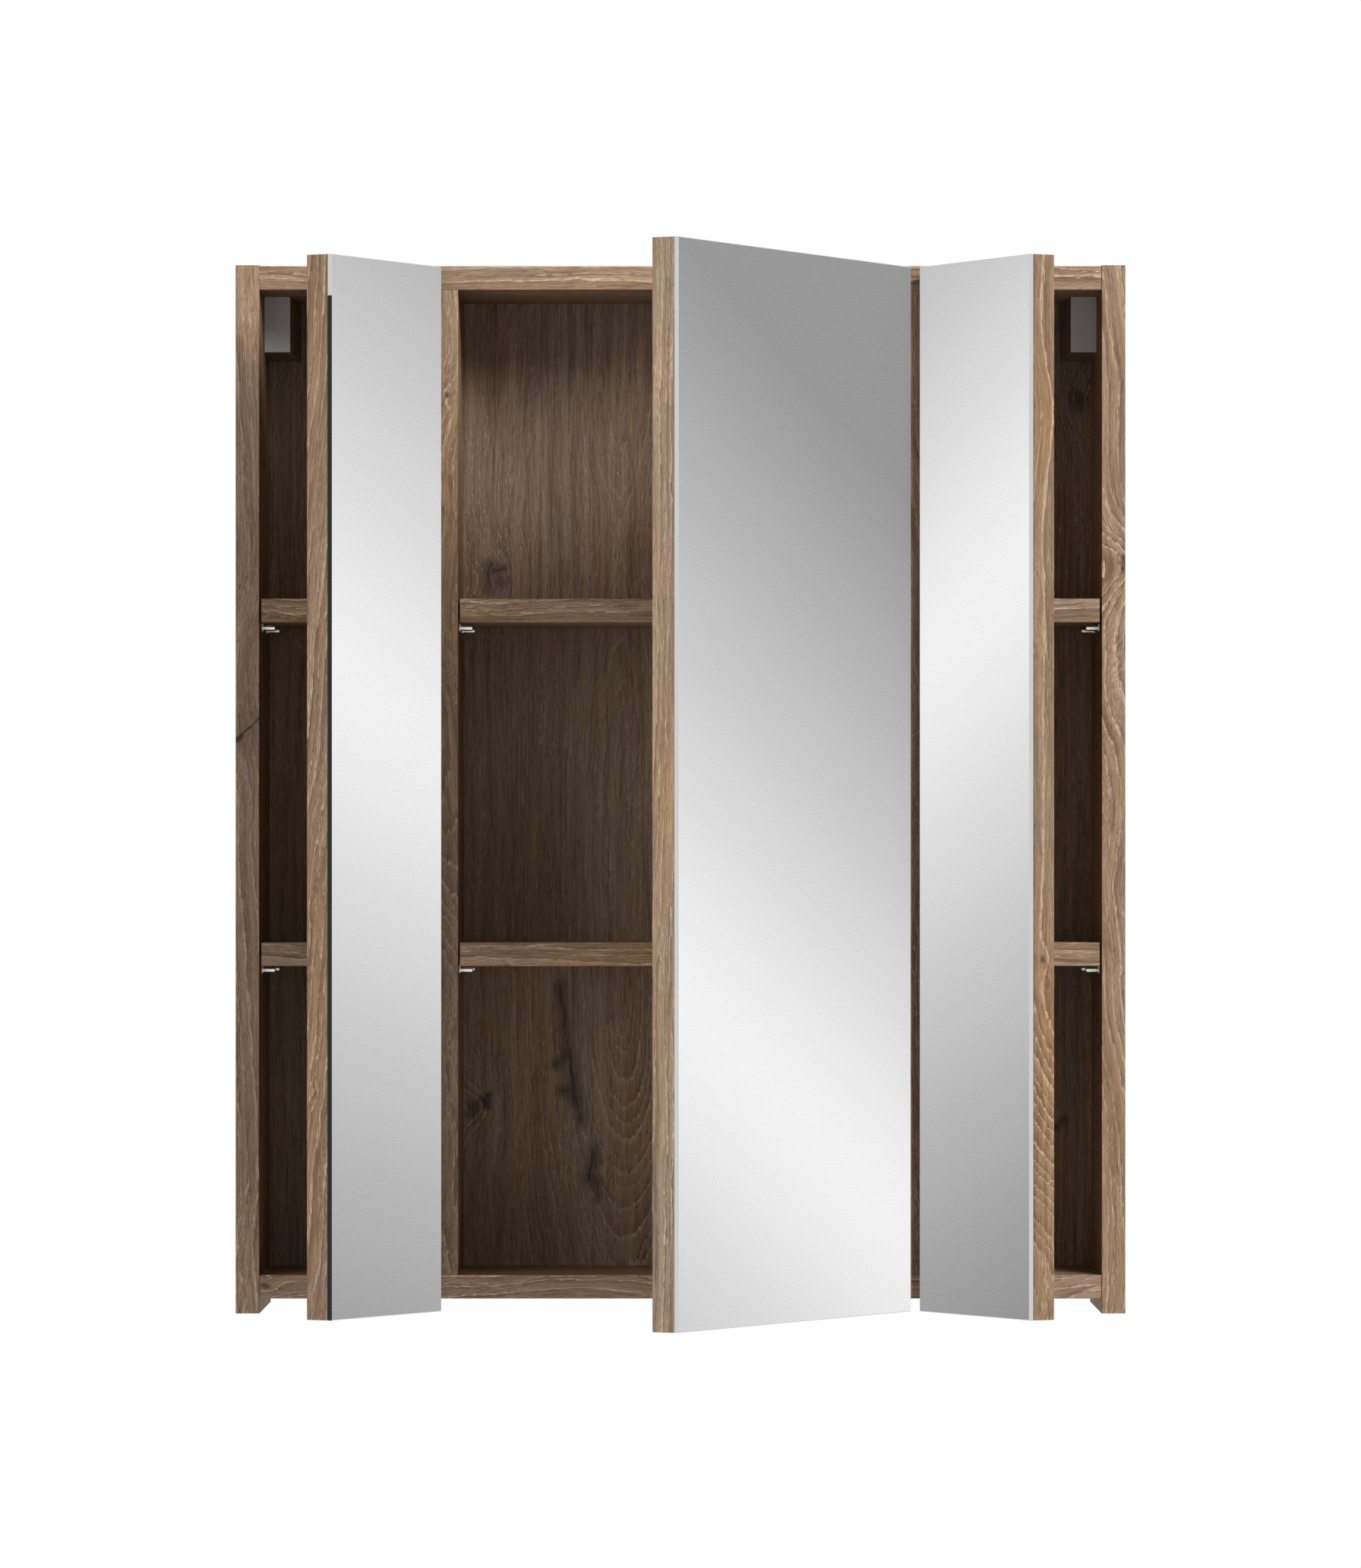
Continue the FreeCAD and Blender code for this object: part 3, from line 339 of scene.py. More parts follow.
class Grain(NamedTuple):
    """One board's print, in the board's turned coordinates: across, deep and along the grain."""
    turn: tuple = (0.0, 0.0, 0.0)
    start: tuple = (0.0, 0.0, 0.0)
    # Shift of the noise along the board, so that boards differ
    seed: float = 0.0
    # The tree's heart as (across, minus deep), and how closely the rings are pressed each way
    heart: tuple = (0.0, 0.05)
    squeeze: tuple = (1.0, 1.0)
    # Lean of the heart and of the grain through the board, for each metre along it
    tilt: float = 0.03
    slant: float = 0.0
    bulges: tuple = ()
    bow: Bow = None
    wavy: float = 1.0
    # Boldness of the rings, and the share of it that is left outside an arch
    rings: float = 1.0
    quiet: float = 1.0
    knots: tuple = ()
    cracks: tuple = ()
    # Depth of the only face that shows knots and cracks, if it is a single face
    skin: float = None
    tone: float = 1.0
    # Painted shade along the board, where it stands in shadow
    fade: PaintedShade = None
    greyer: float = 0.0
    yellower: float = 0.0


# Patterns of the oak across, through and along a board
SLOW_WAVES = (8.0, 8.0, 4.5)
QUICK_WAVES = (60.0, 60.0, 16.0)
CRACK_WAVES = (120.0, 120.0, 70.0)
BOLDNESS = Pattern((26.0, 26.0, 4.0))
FRAY = Pattern((650.0, 650.0, 45.0))
KNOT_RIM = Pattern((420.0, 420.0, 200.0), 3.0)
TEARS = Pattern((60.0, 60.0, 90.0), 3.0)
STREAKS = Pattern((190.0, 190.0, 5.0), 4.0, 0.62)
CLOUDS = Pattern((18.0, 18.0, 3.0), 3.0)
FIBRES = Pattern((1400.0, 1400.0, 30.0), 3.0, 0.7)
PORES = Pattern((1750.0, 1750.0, 170.0), 2.0, 0.6)
FLECKS = Pattern((2200.0, 2200.0, 150.0), 2.0, 0.6)
PATCHES = Pattern((110.0, 110.0, 9.0), 4.0, 0.65)

# Lengths in the oak, in metres
SLOW_SHIFT = 0.055
QUICK_SHIFT = 0.0045
CRACK_SHIFT = 0.010
FRAY_SHIFT = 0.005
ARCH_FADE = (0.075, 0.040)
LARGEST_BEND = 0.009
CLEAR_KNOT = 0.0075
SKIN_FADE = (0.0015, 0.0010)
PORE_DEPTH = 0.0004

# Rings to a metre, the change of their width, and the share of a year in early and late wood
RINGS = 150.0
RING_CHANGE = 2.4
RING_WAVES = 60.0
EARLY_WOOD = (0.24, 0.05)
LATE_WOOD = (0.45, 0.97)

# A knot's length, and the width of the painted shade beside a crack, against the knot's and the crack's own
# size
KNOT_LENGTH = 1.3
SHADE_HALO_WIDTH = 5.5


class OakDecor(Finish):
    """Limed oak decor: growth rings round a heart, pale pores, and any knots and cracks."""

    def __init__(self, name, grain):
        super().__init__(name)
        self.grain = grain
        self.board = self.board_place(grain.turn, grain.start)
        self.across, self.deep, self.along = self.axes(self.board)
        self.place = self.moved(self.board, (0.0, 0.0, grain.seed))

    def wandering_grain(self):
        """Where the grain runs, across and through the board, as it wanders along it."""
        grain = self.grain
        slow_x, slow_y, _ = self.axes(self.sway(self.place, SLOW_WAVES, SLOW_SHIFT * grain.wavy))
        quick_x, quick_y, _ = self.axes(self.sway(self.place, QUICK_WAVES, QUICK_SHIFT))
        grain_x = self.across + slow_x + quick_x
        grain_y = self.deep + slow_y + quick_y + self.along * grain.slant
        for bulge in grain.bulges:
            off = (self.along - bulge.centre) / bulge.reach
            grain_y = grain_y + off.bell() * bulge.swing
        return grain_x, grain_y

    def growth_rings(self, grain_x, grain_y, bent):
        """Distance from the tree's heart, and how boldly the rings show."""
        grain = self.grain
        side = grain_x - grain.heart[0]
        back = grain_y + grain.heart[1] + self.along * grain.tilt
        bold = (self.noise(bent, *BOLDNESS).between(0.34, 0.62) * 0.6 + 0.4) * grain.rings
        if grain.bow:
            side, back, bold = self.arched(side, back, bold)
        side = side * grain.squeeze[0]
        back = back * grain.squeeze[1]
        frayed = self.noise(bent, *FRAY) - 0.5
        radius = (side * side + back * back).sum("SQRT") + frayed * FRAY_SHIFT
        return radius, bold

    def arched(self, side, back, bold):
        """The heart moves through the board, so that the rings arch over."""
        bow, quiet = self.grain.bow, self.grain.quiet
        arch = self.along.between(bow.begin, bow.end) * bow.travel
        started = self.along.between(bow.begin, 0.8 * bow.begin + 0.2 * bow.end)
        shown = started * abs(side).between(*ARCH_FADE)
        bold = bold * (quiet + shown * (1.0 - quiet))
        if bow.axis == "across":
            side = side + arch + started * (self.deep - bow.middle) * bow.lean
        else:
            back = back + arch
        return side, back, bold

    def knotted(self, radius, bold):
        """The rings bend round the knots and show boldly there, and each knot has a dark heart."""
        marks = []
        for place, size, depth in self.grain.knots:
            near = self.distance(self.board, place, (size, size, KNOT_LENGTH * size))
            bend = 2.0 * min(size, LARGEST_BEND) * max(self.grain.squeeze)
            radius = radius + near.bell(0.16) * bend
            clear = 1.2 * depth * min(size / CLEAR_KNOT, 1.0)
            bold = bold.sum("MAXIMUM", near.bell(0.07) * clear)
            ragged = near + (self.noise(self.place, *KNOT_RIM) - 0.5) * 1.6
            marks.append(ragged.between(1.0, 0.1) * depth)
        return radius, bold, marks

    def cracked(self):
        """Dark torn lines, each with soft painted shade beside it."""
        marks = []
        torn = self.noise(self.place, *TEARS).between(0.30, 0.66) * 0.8 + 0.2
        sway = self.sway(self.place, CRACK_WAVES, CRACK_SHIFT)
        for points, width, wander, core, stain_and_shade in self.grain.cracks:
            ragged = self.moved(self.board, self.stretch(sway, wander))
            gap = self.from_line(ragged, points[0], points[1])
            for first, last in zip(points[1:], points[2:]):
                gap = gap.sum("MINIMUM", self.from_line(ragged, first, last))
            marks.append((gap / (torn * width)).between(1.0, 0.2) * core)
            # Painted shade: a soft dark halo beside the crack
            marks.append((gap / (width * SHADE_HALO_WIDTH)).between(1.0, 0.0) * stain_and_shade)
        return marks

    def early_and_late(self, radius, bold):
        """The pale start and the dark end of each year's growth."""
        uneven = self.node("ShaderNodeTexNoise", {"noise_dimensions": "1D"}, {
            "W": radius * RING_WAVES, "Scale": 1.0, "Detail": 1.0})
        phase = (uneven * RING_CHANGE + radius * RINGS).sum("FRACT")
        return phase.between(*EARLY_WOOD) * bold, phase.between(*LATE_WOOD) * bold

    def limed_pores(self, bent, early):
        """Lime in the open pores of the early wood, and in patches elsewhere."""
        pore = self.noise(bent, *PORES)
        patch = self.noise(bent, *PATCHES).between(0.48, 0.66)
        return pore.between(0.42, 0.56) * early * 0.95 + pore.between(0.54, 0.63) * patch * 0.6

    def toned(self, base, bent):
        """The board's own brightness and colour, a little cloudy, and any painted shade along it."""
        grain = self.grain
        cloud = self.noise(bent, *CLOUDS)
        base = self.tinted(base, (0.84 + cloud * 0.32) * grain.tone)
        # Painted shade: darker along part of the board
        if grain.fade:
            begin, end, loss = grain.fade
            base = self.tinted(base, 1.0 - self.along.between(begin, end) * loss)
        return self.node("ShaderNodeHueSaturation", {}, {
            "Hue": 0.5 + grain.yellower,
            "Saturation": cloud * 0.8 + (0.6 - grain.greyer),
            "Color": base,
        })

    def marked(self, base, marks, heart):
        """Knots and cracks over the wood."""
        skin = self.grain.skin
        for mark in marks:
            if skin is not None:
                mark = mark * self.deep.between(*(skin + fade for fade in SKIN_FADE))
            base = self.mix(mark, base, heart)
        return base

    def finished(self):
        """The decor as a material."""
        look = bpy.context.scene.cabinet_oak
        grain_x, grain_y = self.wandering_grain()
        bent = self.join(grain_x, grain_y, self.along + self.grain.seed)
        radius, bold = self.growth_rings(grain_x, grain_y, bent)
        radius, bold, marks = self.knotted(radius, bold)
        early, late = self.early_and_late(radius, bold)
        fibre = self.noise(bent, *FIBRES)
        fleck = self.noise(bent, *FLECKS)
        limed = self.limed_pores(bent, early)

        figure = self.noise(bent, *STREAKS) * 0.46 + fibre * 0.54 + early * 0.09 - late * 0.11
        base = self.node("ShaderNodeValToRGB", {"stops": (
            (0.35, look.dark[:]), (0.50, look.mid[:]), (0.65, look.pale[:]))}, {0: figure})
        base = self.mix(limed.sum("MINIMUM", 1.0) * 0.88, base, look.lime[:])
        base = self.mix(fleck.between(0.43, 0.34) * 0.7, base, look.dark[:])
        base = self.toned(base, bent)
        if self.grain.cracks:
            marks = marks + self.cracked()
        relief = fibre * 0.5 - limed * 0.5 - late * 0.2
        return self.shade({
            "Base Color": self.marked(base, marks, look.heart[:]),
            "Roughness": 0.60 + fleck * 0.14,
            "Specular IOR Level": 0.35,
            "Normal": self.bump(relief, 0.35, PORE_DEPTH),
        })


def oak(name, **grain):
    return OakDecor(name, Grain(**grain)).finished()


# Turns that stand a board's grain upright: sides seen from their front edge, and level boards
UPRIGHT_SIDE = (0.0, 0.0, math.radians(90.0))
LEVEL = (0.0, math.radians(-90.0), 0.0)


def on_board(turn, *point):
    """A place on the object, turned as a board's own coordinates are."""
    return tuple(Euler(turn).to_matrix() @ Vector(point))


def above_foot(*heights):
    """Heights above the foot of the sides, as places on the object."""
    return [FOOT_Z + height for height in heights]


def left_side_oak():
    """Straight grain that swings round a crack in the front edge, with painted shade round the crack."""
    low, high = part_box("side_panel_left")
    crack_begin, crack_end, bulge = above_foot(0.3863, 0.4016, 0.394)
    split = (on_board(UPRIGHT_SIDE, low.x, low.y, crack_begin),
             on_board(UPRIGHT_SIDE, high.x, low.y, crack_end))
    # The crack's wide halo is painted shade that darkens the middle of the front edge
    return oak("oak_side_left", turn=UPRIGHT_SIDE, heart=(0.15, 0.22), rings=0.7,
               bulges=(Bulge(bulge, 0.070, 0.013),),
               cracks=(Crack(split, 0.0036, (0.0, 0.45, 0.45), 1.0, 0.32),))


def right_side_oak():
    """Bold slanting rings, and a knot at the outer corner of the front edge."""
    low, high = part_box("side_panel_right")
    knot, upper, lower = above_foot(0.5062, 0.506, 0.430)
    eye = Knot(on_board(UPRIGHT_SIDE, high.x, low.y, knot), 0.0072, 0.95)
    return oak("oak_side_right", turn=UPRIGHT_SIDE, seed=0.4, heart=(0.13, -0.315), squeeze=(1.0, 1.2),
               slant=0.05, wavy=0.8, bulges=(Bulge(upper, 0.028, -0.010), Bulge(lower, 0.060, 0.008)),
               knots=(eye,))


def divider_oak():
    """Quiet grain with a small knot near the top and an arch near the foot, and painted shade that darkens it
    low down.
    """
    low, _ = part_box("divider_left")
    knot, arch_begin, arch_end, painted_shade_begin, painted_shade_end = above_foot(0.620, 0.40, 0.20, 0.56, 0.40)
    eye = Knot(on_board(UPRIGHT_SIDE, low.x + 0.009, low.y, knot), 0.0024, 0.8)
    return oak("oak_dividers", turn=UPRIGHT_SIDE, seed=0.9, heart=(0.14, 0.22), rings=0.7,
               bow=Bow("across", 0.09, arch_begin, arch_end, -1.3, low.x + 0.008),
               fade=PaintedShade(painted_shade_begin, painted_shade_end, 0.28), knots=(eye,))


def bottom_oak():
    """Close rings, and a small knot near the left end of the front edge."""
    low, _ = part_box("bottom_panel")
    eye = Knot(on_board(LEVEL, low.x + 0.004, low.y, low.z + 0.0084), 0.0035, 0.8)
    return oak("oak_bottom", turn=LEVEL, seed=1.3, heart=(0.655, 0.165), squeeze=(1.6, 1.0), knots=(eye,),
               tone=0.95)


class CABINET_OT_carcass(bpy.types.Operator):
    """Finish the sides, dividers, top and bottom in oak decor"""
    bl_idname = "cabinet.carcass"
    bl_label = "Carcass boards"

    def execute(self, context):
        give(left_side_oak(), "side_panel_left")
        give(right_side_oak(), "side_panel_right")
        give(divider_oak(), "divider_left", "divider_right")
        give(oak("oak_top", turn=LEVEL, seed=0.2, heart=(0.08, 0.18), wavy=0.4, greyer=-0.05), "top_panel")
        give(bottom_oak(), "bottom_panel")
        return {"FINISHED"}


# Cracks in the back: points as (place across, height above the foot), and the width
BACK_CRACKS = (
    (((-0.0825, 0.2186), (-0.0775, 0.1752), (-0.0715, 0.1388), (-0.0684, 0.1267)), 0.0019),
    (((-0.0603, 0.1045), (-0.0628, 0.0853)), 0.0019),
    (((-0.0567, 0.0843), (-0.0563, 0.0742)), 0.0014),
    (((-0.0866, 0.1640), (-0.0795, 0.1721)), 0.0013),
    (((-0.0815, 0.1469), (-0.0745, 0.1479), (-0.0735, 0.1385)), 0.0013),
    (((-0.1312, 0.5109), (-0.1334, 0.5046), (-0.1312, 0.4915)), 0.0017),
    (((-0.1290, 0.5057), (-0.1215, 0.5084)), 0.0009),
    (((-0.1372, 0.1410), (-0.1330, 0.1385), (-0.1318, 0.1350)), 0.0010),
    (((-0.1345, 0.1420), (-0.1318, 0.1435)), 0.0008),
    (((0.2595, 0.1213), (0.2658, 0.1276)), 0.0009),
)

# Knots in the back: place across, height above the foot, radius and darkness
BACK_KNOTS = (
    (-0.1248, 0.5000, 0.0090, 0.60),
    (-0.1430, 0.1336, 0.0085, 0.75),
    (-0.1340, 0.1383, 0.0048, 0.65),
    # This one is no knot: a wide, faint darker patch
    (-0.0330, 0.5230, 0.0220, 0.17),
    (0.2753, 0.6234, 0.0100, 0.65),
)


def back_oak():
    """Fine quiet grain with an arch low in the centre bay, dark knots and cracks on its front face."""
    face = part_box("back_panel")[0].y
    wander = (0.55, 0.0, 0.55)
    # Each crack has a halo of painted shade beside it
    cracks = [Crack([(x, face, FOOT_Z + up) for x, up in points], width, wander, 0.75, 0.55)
              for points, width in BACK_CRACKS]
    knots = [Knot((x, face, FOOT_Z + up), size, depth) for x, up, size, depth in BACK_KNOTS]
    arch_begin, arch_end = above_foot(0.22, -0.01)
    return oak("oak_back", heart=(-0.040, 0.035), squeeze=(2.2, 1.0), tilt=0.0,
               bow=Bow("deep", 0.085, arch_begin, arch_end), wavy=0.2, rings=1.1, quiet=0.35,
               knots=knots, cracks=cracks, skin=face, tone=0.89, greyer=0.11)


class CABINET_OT_shelves(bpy.types.Operator):
    """Finish the loose shelves, their pins and the back panel"""
    bl_idname = "cabinet.shelves"
    bl_label = "Shelves, pins and back"

    def execute(self, context):
        shelves = [f"shelf_{row}_{bay}" for row in ("lower", "upper") for bay in DOORS]
        give(oak("oak_shelves", turn=LEVEL, seed=2.1, heart=(0.3, 0.12), wavy=0.4, tone=0.94), *shelves)
        give(back_oak(), "back_panel")
        give(plated("nickel", context.scene.cabinet_hardware.nickel[:], 0.16), "shelf_pins")
        return {"FINISHED"}


def door_print(door, width, height):
    """What sets a door's oak apart; places are measured from the lower corner of its board."""
    if door == "left":
        speck = Knot((0.0, 0.009, 0.150), 0.0022, 0.45)
        return dict(heart=(-0.02, 0.06), slant=0.10, wavy=0.5, knots=(speck,), tone=0.91, greyer=-0.06)
    if door == "centre":
        return dict(heart=(-0.02, 0.10), wavy=0.3, rings=0.7, tone=1.10, greyer=0.09, yellower=0.006)
    eye = Knot((width, 0.0074, 0.238), 0.0030, 0.95)
    return dict(heart=(width - 0.014, -0.040), squeeze=(1.0, 0.9), tilt=0.0, wavy=0.5,
                bulges=(Bulge(height - 0.115, 0.045, -0.010),), bow=Bow("across", 0.125, 0.25, 0.0, -0.5),
                knots=(eye,), tone=0.83, greyer=-0.07)


class CABINET_OT_doors(bpy.types.Operator):
    """Finish the door boards in oak decor"""
    bl_idname = "cabinet.doors"
    bl_label = "Door boards"

    def execute(self, context):
        for count, door in enumerate(DOORS):
            degrees = -DOOR_TURN[door]
            low, high = turned_box("door_board_" + door, degrees)
            size = high - low
            material = oak("oak_door_" + door, turn=(0.0, 0.0, math.radians(degrees)), start=-low,
                           seed=0.8 * count, **door_print(door, size.x, size.z))
            give(material, "door_board_" + door)
        return {"FINISHED"}


# Mirrors: how far the painted sheen's line falls for each metre across, and its height at the glass's first
# edge
PAINTED_SHEEN = {"left": (0.298, 0.426), "centre": (0.494, 0.210), "right": (-0.45, 0.438)}
PAINTED_SHEEN_ROUNDING = 0.04
GLASS_GRAIN = Pattern((900.0, 900.0, 900.0), 1.0)
GLASS_TINT = (0.95, 0.98, 0.975)
POLISHED_EDGE = (0.00050, 0.00042)
PAINTED_DARK_EDGE = (0.0008, 0.0012)
PAINTED_DARK_BELOW_TOP = (0.0276, 0.0270)
SEEN_SQUARELY = (0.44, 0.28)
MIRROR_SHARE = 0.86
DISPLAY_GAMMA = 2.2


class SilveredGlass(Finish):
    """Silvered glass: a mirror when faced squarely; seen aslant, a painted diagonal sheen that glows."""

    def __init__(self, door):
        super().__init__("mirror_" + door)
        degrees = -DOOR_TURN[door]
        low, high = turned_box("mirror_" + door, degrees)
        self.door = door
        self.size = high - low
        self.look = bpy.context.scene.cabinet_glass
        self.place = self.board_place((0.0, 0.0, math.radians(degrees)), -low)
        self.across, _, self.up = self.axes(self.place)

    def painted_sheen_tone(self):
        """Painted sheen: brightest along a slanting line, with the fine grain of the silvering."""
        look = self.look
        fall, level = PAINTED_SHEEN[self.door]
        away = self.up + self.across * fall - level
        soft = (away * away + PAINTED_SHEEN_ROUNDING ** 2).sum("SQRT") - PAINTED_SHEEN_ROUNDING
        grain = self.noise(self.place, *GLASS_GRAIN) - 0.5
        tone = (look.painted_sheen_peak - soft * look.slope).sum("MAXIMUM", look.floor) + grain * 0.16
        return tone ** DISPLAY_GAMMA

    def edge(self):
        """The narrow polished edge all round."""
        to_side = self.across.sum("MINIMUM", self.size.x - self.across)
        to_end = self.up.sum("MINIMUM", self.size.z - self.up)
        return to_side.sum("MINIMUM", to_end).between(*POLISHED_EDGE)

    def painted_edge_colour(self):
        """Painted reflections on the edge: pale, and on the left door dark along its free edge, apart from
        the top.
        """
        if self.door != "left":
            return self.look.edge[:]
        top = self.up.between(*(self.size.z - drop for drop in PAINTED_DARK_BELOW_TOP))
        painted_lit = top.sum("MAXIMUM", self.across.between(*PAINTED_DARK_EDGE))
        return self.mix(painted_lit, self.look.painted_dark_reflection[:], self.look.edge[:])

    def finished(self):
        """The glass as a material."""
        tone = self.painted_sheen_tone()
        edge = self.edge()
        # Seen aslant, the glass glows with its painted sheen and the painted reflections on its edge
        sheen = self.node("ShaderNodeBsdfPrincipled", {}, {
            "Base Color": (0.02, 0.02, 0.02, 1.0),
            "Roughness": 0.6,
            "Specular IOR Level": 0.05,
            "Emission Color": self.mix(edge, self.grey(tone), self.painted_edge_colour()),
            "Emission Strength": 0.97,
        })
        # The mirror's own colour carries a milder copy of the painted sheen
        mirror = self.node("ShaderNodeBsdfPrincipled", {}, {
            "Base Color": self.tinted(GLASS_TINT, 0.62 + tone * 0.30),
            "Metallic": 1.0,
            "Roughness": 0.02,
        })
        facing = self.node("ShaderNodeLayerWeight", {}, {"Blend": 0.5}, out="Facing")
        share = facing.between(*SEEN_SQUARELY) * MIRROR_SHARE * (1.0 - edge)
        return self.shade_both(share, sheen, mirror)


class CABINET_OT_mirrors(bpy.types.Operator):
    """Finish the mirrors and the tape behind them"""
    bl_idname = "cabinet.mirrors"
    bl_label = "Mirrors"

    def execute(self, context):
        for door in DOORS:
            give(SilveredGlass(door).finished(), "mirror_" + door)
        foam = rubbery("foam_tape", context.scene.cabinet_hardware.tape[:], 0.9)
        give(foam, *["mirror_tape_" + door for door in DOORS])
        return {"FINISHED"}


# Metal, plastic, rubber and dowels
DRAWN_LINES = Pattern((900.0, 900.0, 4000.0))
TARNISH = Pattern((90.0, 90.0, 90.0), 3.0)
MOULD_GRAIN = Pattern((1800.0, 1800.0, 1800.0))
MOULD_CLOUDS = Pattern((35.0, 35.0, 35.0))
OPEN_CELLS = Pattern((1400.0, 1400.0, 1400.0), 3.0)
BEECH_FLECKS = Pattern((500.0, 500.0, 500.0), 3.0, 0.6)
COVER_FACE = (0.0002, 0.0004)
SMOOTH_RELIEF = 0.0001
COARSE_RELIEF = 0.0002


def plated(name, tone, roughness):
    """Plated steel with faint drawing lines and tarnish."""
    metal = Finish(name)
    place = metal.board_place()
    fine = metal.noise(place, *DRAWN_LINES)
    stain_and_shade = metal.noise(place, *TARNISH)
    return metal.shade({
        "Base Color": metal.tinted(tone, 0.92 + stain_and_shade * 0.16),
        "Metallic": 1.0,
        "Roughness": roughness + fine * 0.08 + stain_and_shade * 0.06,
        "Normal": metal.bump(fine, 0.08, SMOOTH_RELIEF),
    })


def capped(name, front, sides, face):
    """Fine-grained moulded plastic, pale on its face, with painted shade that makes its sides brown."""
    plastic = Finish(name)
    place = plastic.board_place()
    _, deep, _ = plastic.axes(place)
    # Painted shade: every face but the front takes the darker colour
    shade = plastic.mix(deep.between(*(face + depth for depth in COVER_FACE)), front, sides)
    grain = plastic.noise(place, *MOULD_GRAIN)
    cloud = plastic.noise(place, *MOULD_CLOUDS)
    return plastic.shade({
        "Base Color": plastic.tinted(shade, 0.95 + cloud * 0.10),
        "Roughness": 0.45 + grain * 0.10,
        "Normal": plastic.bump(grain, 0.10, SMOOTH_RELIEF),
    })


def rubbery(name, tone, roughness):
    """Soft foam or gel with open cells."""
    soft = Finish(name)
    cells = soft.noise(soft.board_place(), *OPEN_CELLS)
    return soft.shade({
        "Base Color": soft.tinted(tone, 0.85 + cells * 0.30),
        "Roughness": roughness,
        "Normal": soft.bump(cells, 0.15, COARSE_RELIEF),
    })


def bare_beech(body, flecks):
    """Beech of the dowels, with short flecks."""
    beech = Finish("beech")
    fleck = beech.noise(beech.board_place(), *BEECH_FLECKS)
    return beech.shade({
        "Base Color": beech.mix(fleck.between(0.4, 0.7), body, flecks),
        "Roughness": 0.7 + fleck * 0.1,
        "Normal": beech.bump(fleck, 0.2, COARSE_RELIEF),
    })


class CABINET_OT_hinges(bpy.types.Operator):
    """Finish the concealed hinges and their screws"""
    bl_idname = "cabinet.hinges"
    bl_label = "Hinges"

    def execute(self, context):
        look = context.scene.cabinet_hardware
        pressed = [f"hinge_{piece}_{door}" for piece in ("arms", "plates", "links", "cups") for door in DOORS]
        give(plated("hinge_steel", look.hinge[:], 0.26), *pressed)
        turned = [f"hinge_cup_{piece}_{door}" for piece in ("pins", "screws") for door in DOORS]
        shared = ("hinge_arm_pins", "hinge_arm_screws", "hinge_plate_screws")
        give(plated("screw_steel", look.screw[:], 0.30), *shared, *turned)
        return {"FINISHED"}


class CABINET_OT_hangers(bpy.types.Operator):
    """Finish the hangers, their covers and the wall plates"""
    bl_idname = "cabinet.hangers"
    bl_label = "Hangers"

    def execute(self, context):
        look = context.scene.cabinet_hardware
        zinc = plated("zinc_steel", look.zinc[:], 0.34)
        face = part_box("hanger_cover_left")[0].y
        cover = capped("cover_plastic", look.cover[:], look.cover_painted_shade[:], face)
        for side in ("left", "right"):
            give(zinc, "hanger_body_" + side, "hanger_hook_" + side, "wall_plate_" + side)
            give(cover, "hanger_cover_" + side)
        give(bpy.data.materials["screw_steel"], "hanger_screws")
        return {"FINISHED"}


class CABINET_OT_fittings(bpy.types.Operator):
    """Finish the cams, bolts, dowels, divider screws and door bumpers"""
    bl_idname = "cabinet.fittings"
    bl_label = "Fittings"

    def execute(self, context):
        look = context.scene.cabinet_hardware
        give(bpy.data.materials["zinc_steel"], "cam_housings")
        give(bpy.data.materials["screw_steel"], "cam_bolts", "divider_screws")
        give(bare_beech(look.beech[:], look.beech_fleck[:]), "dowels")
        give(rubbery("bumper_gel", look.gel[:], 0.35), *["door_bumpers_" + door for door in DOORS])
        return {"FINISHED"}


# Stage: places and lengths in metres
KEY_PLACE = (1.9, -3.1, 1.8)
FILL_PLACE = (-2.4, -3.0, 0.4)
LARGE_LAMP = 2.0
SMALL_LAMP = 1.0
FLOOR_REACH = 6.0
FLOOR_DROP = 1.0
SHADOW_FADE = (3.2, 0.6)
SHADOW_SHARE = 0.12
FLOOR_GREY = (0.82, 0.82, 0.82, 1.0)
WHITE = (1.0, 1.0, 1.0, 1.0)
SENSOR_WIDTH = 36.0


def lamp(name, place, target, size, watts):
    """A round lamp that faces a target."""
    data = bpy.data.lights.new(name, "AREA")
    data.shape = "DISK"
    data.size = size
    data.energy = watts
    made = bpy.data.objects.new(name, data)
    made.location = place
    made.rotation_euler = (Vector(target) - Vector(place)).to_track_quat("-Z", "Y").to_euler()
    bpy.context.scene.collection.objects.link(made)
    return made


def seen_rays(finish):
    """Rays that show the surround itself, straight or in metal and glass."""
    path = finish.node("ShaderNodeLightPath").socket.node
    camera, glossy, through = [Value(finish, path.outputs[name]) for name in (
        "Is Camera Ray", "Is Glossy Ray", "Is Transmission Ray")]
    return camera.sum("MAXIMUM", glossy).sum("MAXIMUM", through)


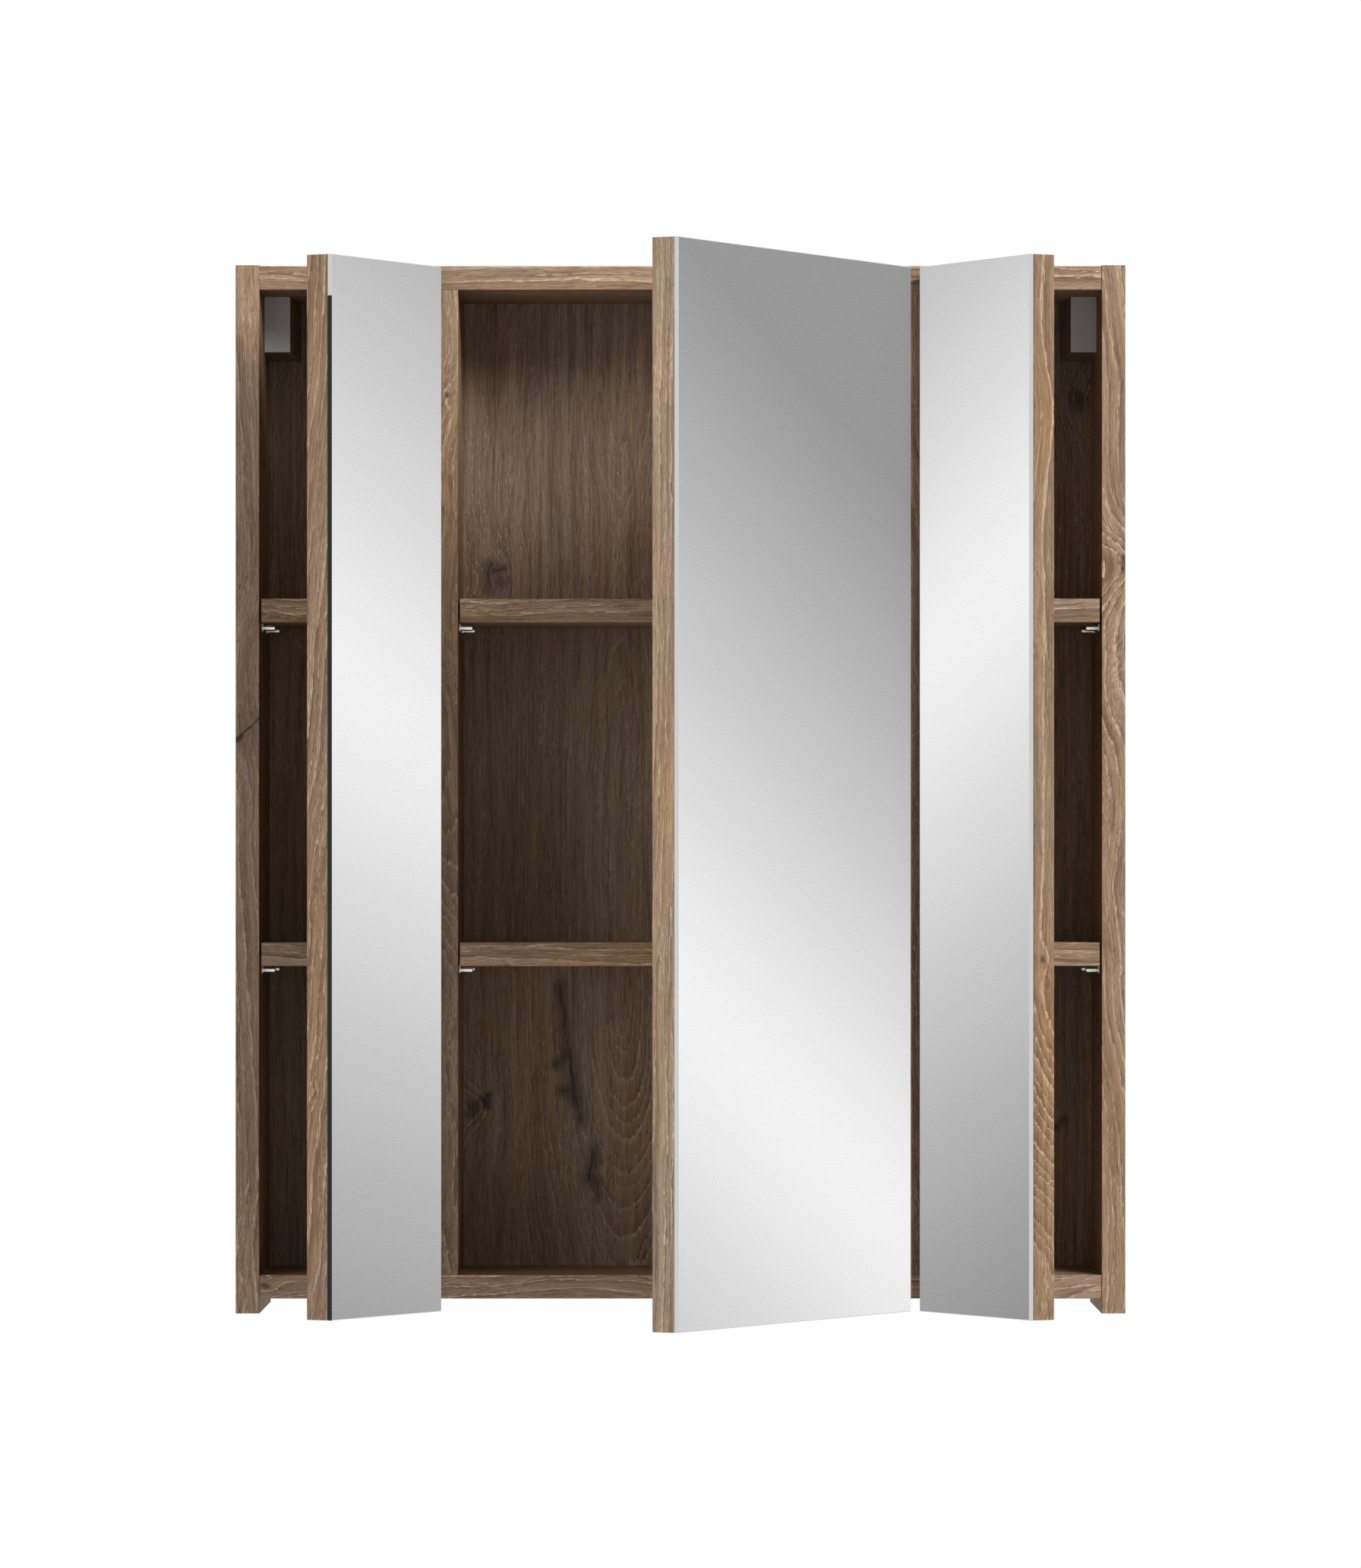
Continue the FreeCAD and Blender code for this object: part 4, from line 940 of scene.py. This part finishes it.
def pale_floor():
    """A wide floor that keeps the shadow under the hung cabinet and is white further off."""
    mesh = bpy.data.meshes.new("floor")
    shape = bmesh.new()
    bmesh.ops.create_grid(shape, x_segments=1, y_segments=1, size=FLOOR_REACH)
    bmesh.ops.translate(shape, verts=shape.verts, vec=(0.0, 0.0, FOOT_Z - FLOOR_DROP))
    shape.to_mesh(mesh)
    shape.free()
    floor = bpy.data.objects.new("floor", mesh)
    bpy.context.scene.collection.objects.link(floor)
    paint = Finish("floor_paint")
    across, deep, _ = paint.axes(paint.board_place())
    away = (across * across + deep * deep).sum("SQRT")
    shadowed = away.between(*SHADOW_FADE) * SHADOW_SHARE
    matt = paint.node("ShaderNodeBsdfDiffuse", {}, {"Color": FLOOR_GREY})
    white = paint.node("ShaderNodeEmission", {}, {"Color": WHITE, "Strength": 1.0})
    mesh.materials.append(paint.shade_both(seen_rays(paint) * (1.0 - shadowed), matt, white))


def white_surround(ambient):
    """An even pale room that the camera and polished metal see as white."""
    world = bpy.data.worlds.new("pale_room")
    bpy.context.scene.world = world
    room = Finish("pale_room", world)
    light = room.node("ShaderNodeBackground", {}, {"Color": WHITE, "Strength": ambient})
    white = room.node("ShaderNodeBackground", {}, {"Color": WHITE, "Strength": 1.0})
    room.shade_both(seen_rays(room), light, white, "ShaderNodeOutputWorld")


def front_camera(look):
    """A level camera in front of the cabinet, with its lens raised."""
    data = bpy.data.cameras.new("camera")
    data.lens = look.lens
    data.sensor_width = SENSOR_WIDTH
    data.shift_y = look.rise
    camera = bpy.data.objects.new("camera", data)
    camera.location = (0.0, FRONT_Y - look.camera_distance, FOOT_Z + look.camera_height)
    camera.rotation_euler = (math.radians(90.0), 0.0, 0.0)
    bpy.context.scene.collection.objects.link(camera)
    bpy.context.scene.camera = camera


class CABINET_OT_stage(bpy.types.Operator):
    """Set the light and the camera"""
    bl_idname = "cabinet.stage"
    bl_label = "Stage"

    def execute(self, context):
        look = context.scene.cabinet_stage
        context.scene.view_settings.view_transform = "Standard"
        middle = (0.0, FRONT_Y, (FOOT_Z + TOP_Z) / 2)
        lamp("key_lamp", KEY_PLACE, middle, LARGE_LAMP, look.key)
        lamp("fill_lamp", FILL_PLACE, middle, LARGE_LAMP, look.fill)
        front_place = (0.0, FRONT_Y - look.camera_distance, middle[2])
        front = lamp("front_lamp", front_place, middle, SMALL_LAMP, look.front)
        front.visible_glossy = False
        white_surround(look.ambient)
        pale_floor()
        front_camera(look)
        return {"FINISHED"}


class CABINET_PT_panel(bpy.types.Panel):
    """Lists the steps and the looks in the sidebar"""
    bl_idname = "CABINET_PT_panel"
    bl_label = "Mirror Cabinet"
    bl_space_type = "VIEW_3D"
    bl_region_type = "UI"
    bl_category = "Cabinet"

    def draw(self, context):
        for step in STEPS:
            self.layout.operator(step.bl_idname)
        for name in LOOKS:
            group = getattr(context.scene, name)
            box = self.layout.box()
            for look in group.__annotations__:
                box.prop(group, look)


LOOKS = {
    "cabinet_oak": OakLook,
    "cabinet_glass": GlassLook,
    "cabinet_hardware": HardwareLook,
    "cabinet_stage": StageLook,
}
STEPS = (CABINET_OT_carcass, CABINET_OT_shelves, CABINET_OT_doors, CABINET_OT_mirrors, CABINET_OT_hinges,
         CABINET_OT_hangers, CABINET_OT_fittings, CABINET_OT_stage)


def register():
    for cls in (*LOOKS.values(), *STEPS, CABINET_PT_panel):
        bpy.utils.register_class(cls)
    for name, cls in LOOKS.items():
        setattr(bpy.types.Scene, name, bpy.props.PointerProperty(type=cls))


def unregister():
    for name in LOOKS:
        delattr(bpy.types.Scene, name)
    for cls in reversed((*LOOKS.values(), *STEPS, CABINET_PT_panel)):
        bpy.utils.unregister_class(cls)


def main():
    register()
    bpy.ops.cabinet.carcass()
    bpy.ops.cabinet.shelves()
    bpy.ops.cabinet.doors()
    bpy.ops.cabinet.mirrors()
    bpy.ops.cabinet.hinges()
    bpy.ops.cabinet.hangers()
    bpy.ops.cabinet.fittings()
    bpy.ops.cabinet.stage()


if __name__ == "__main__":
    main()
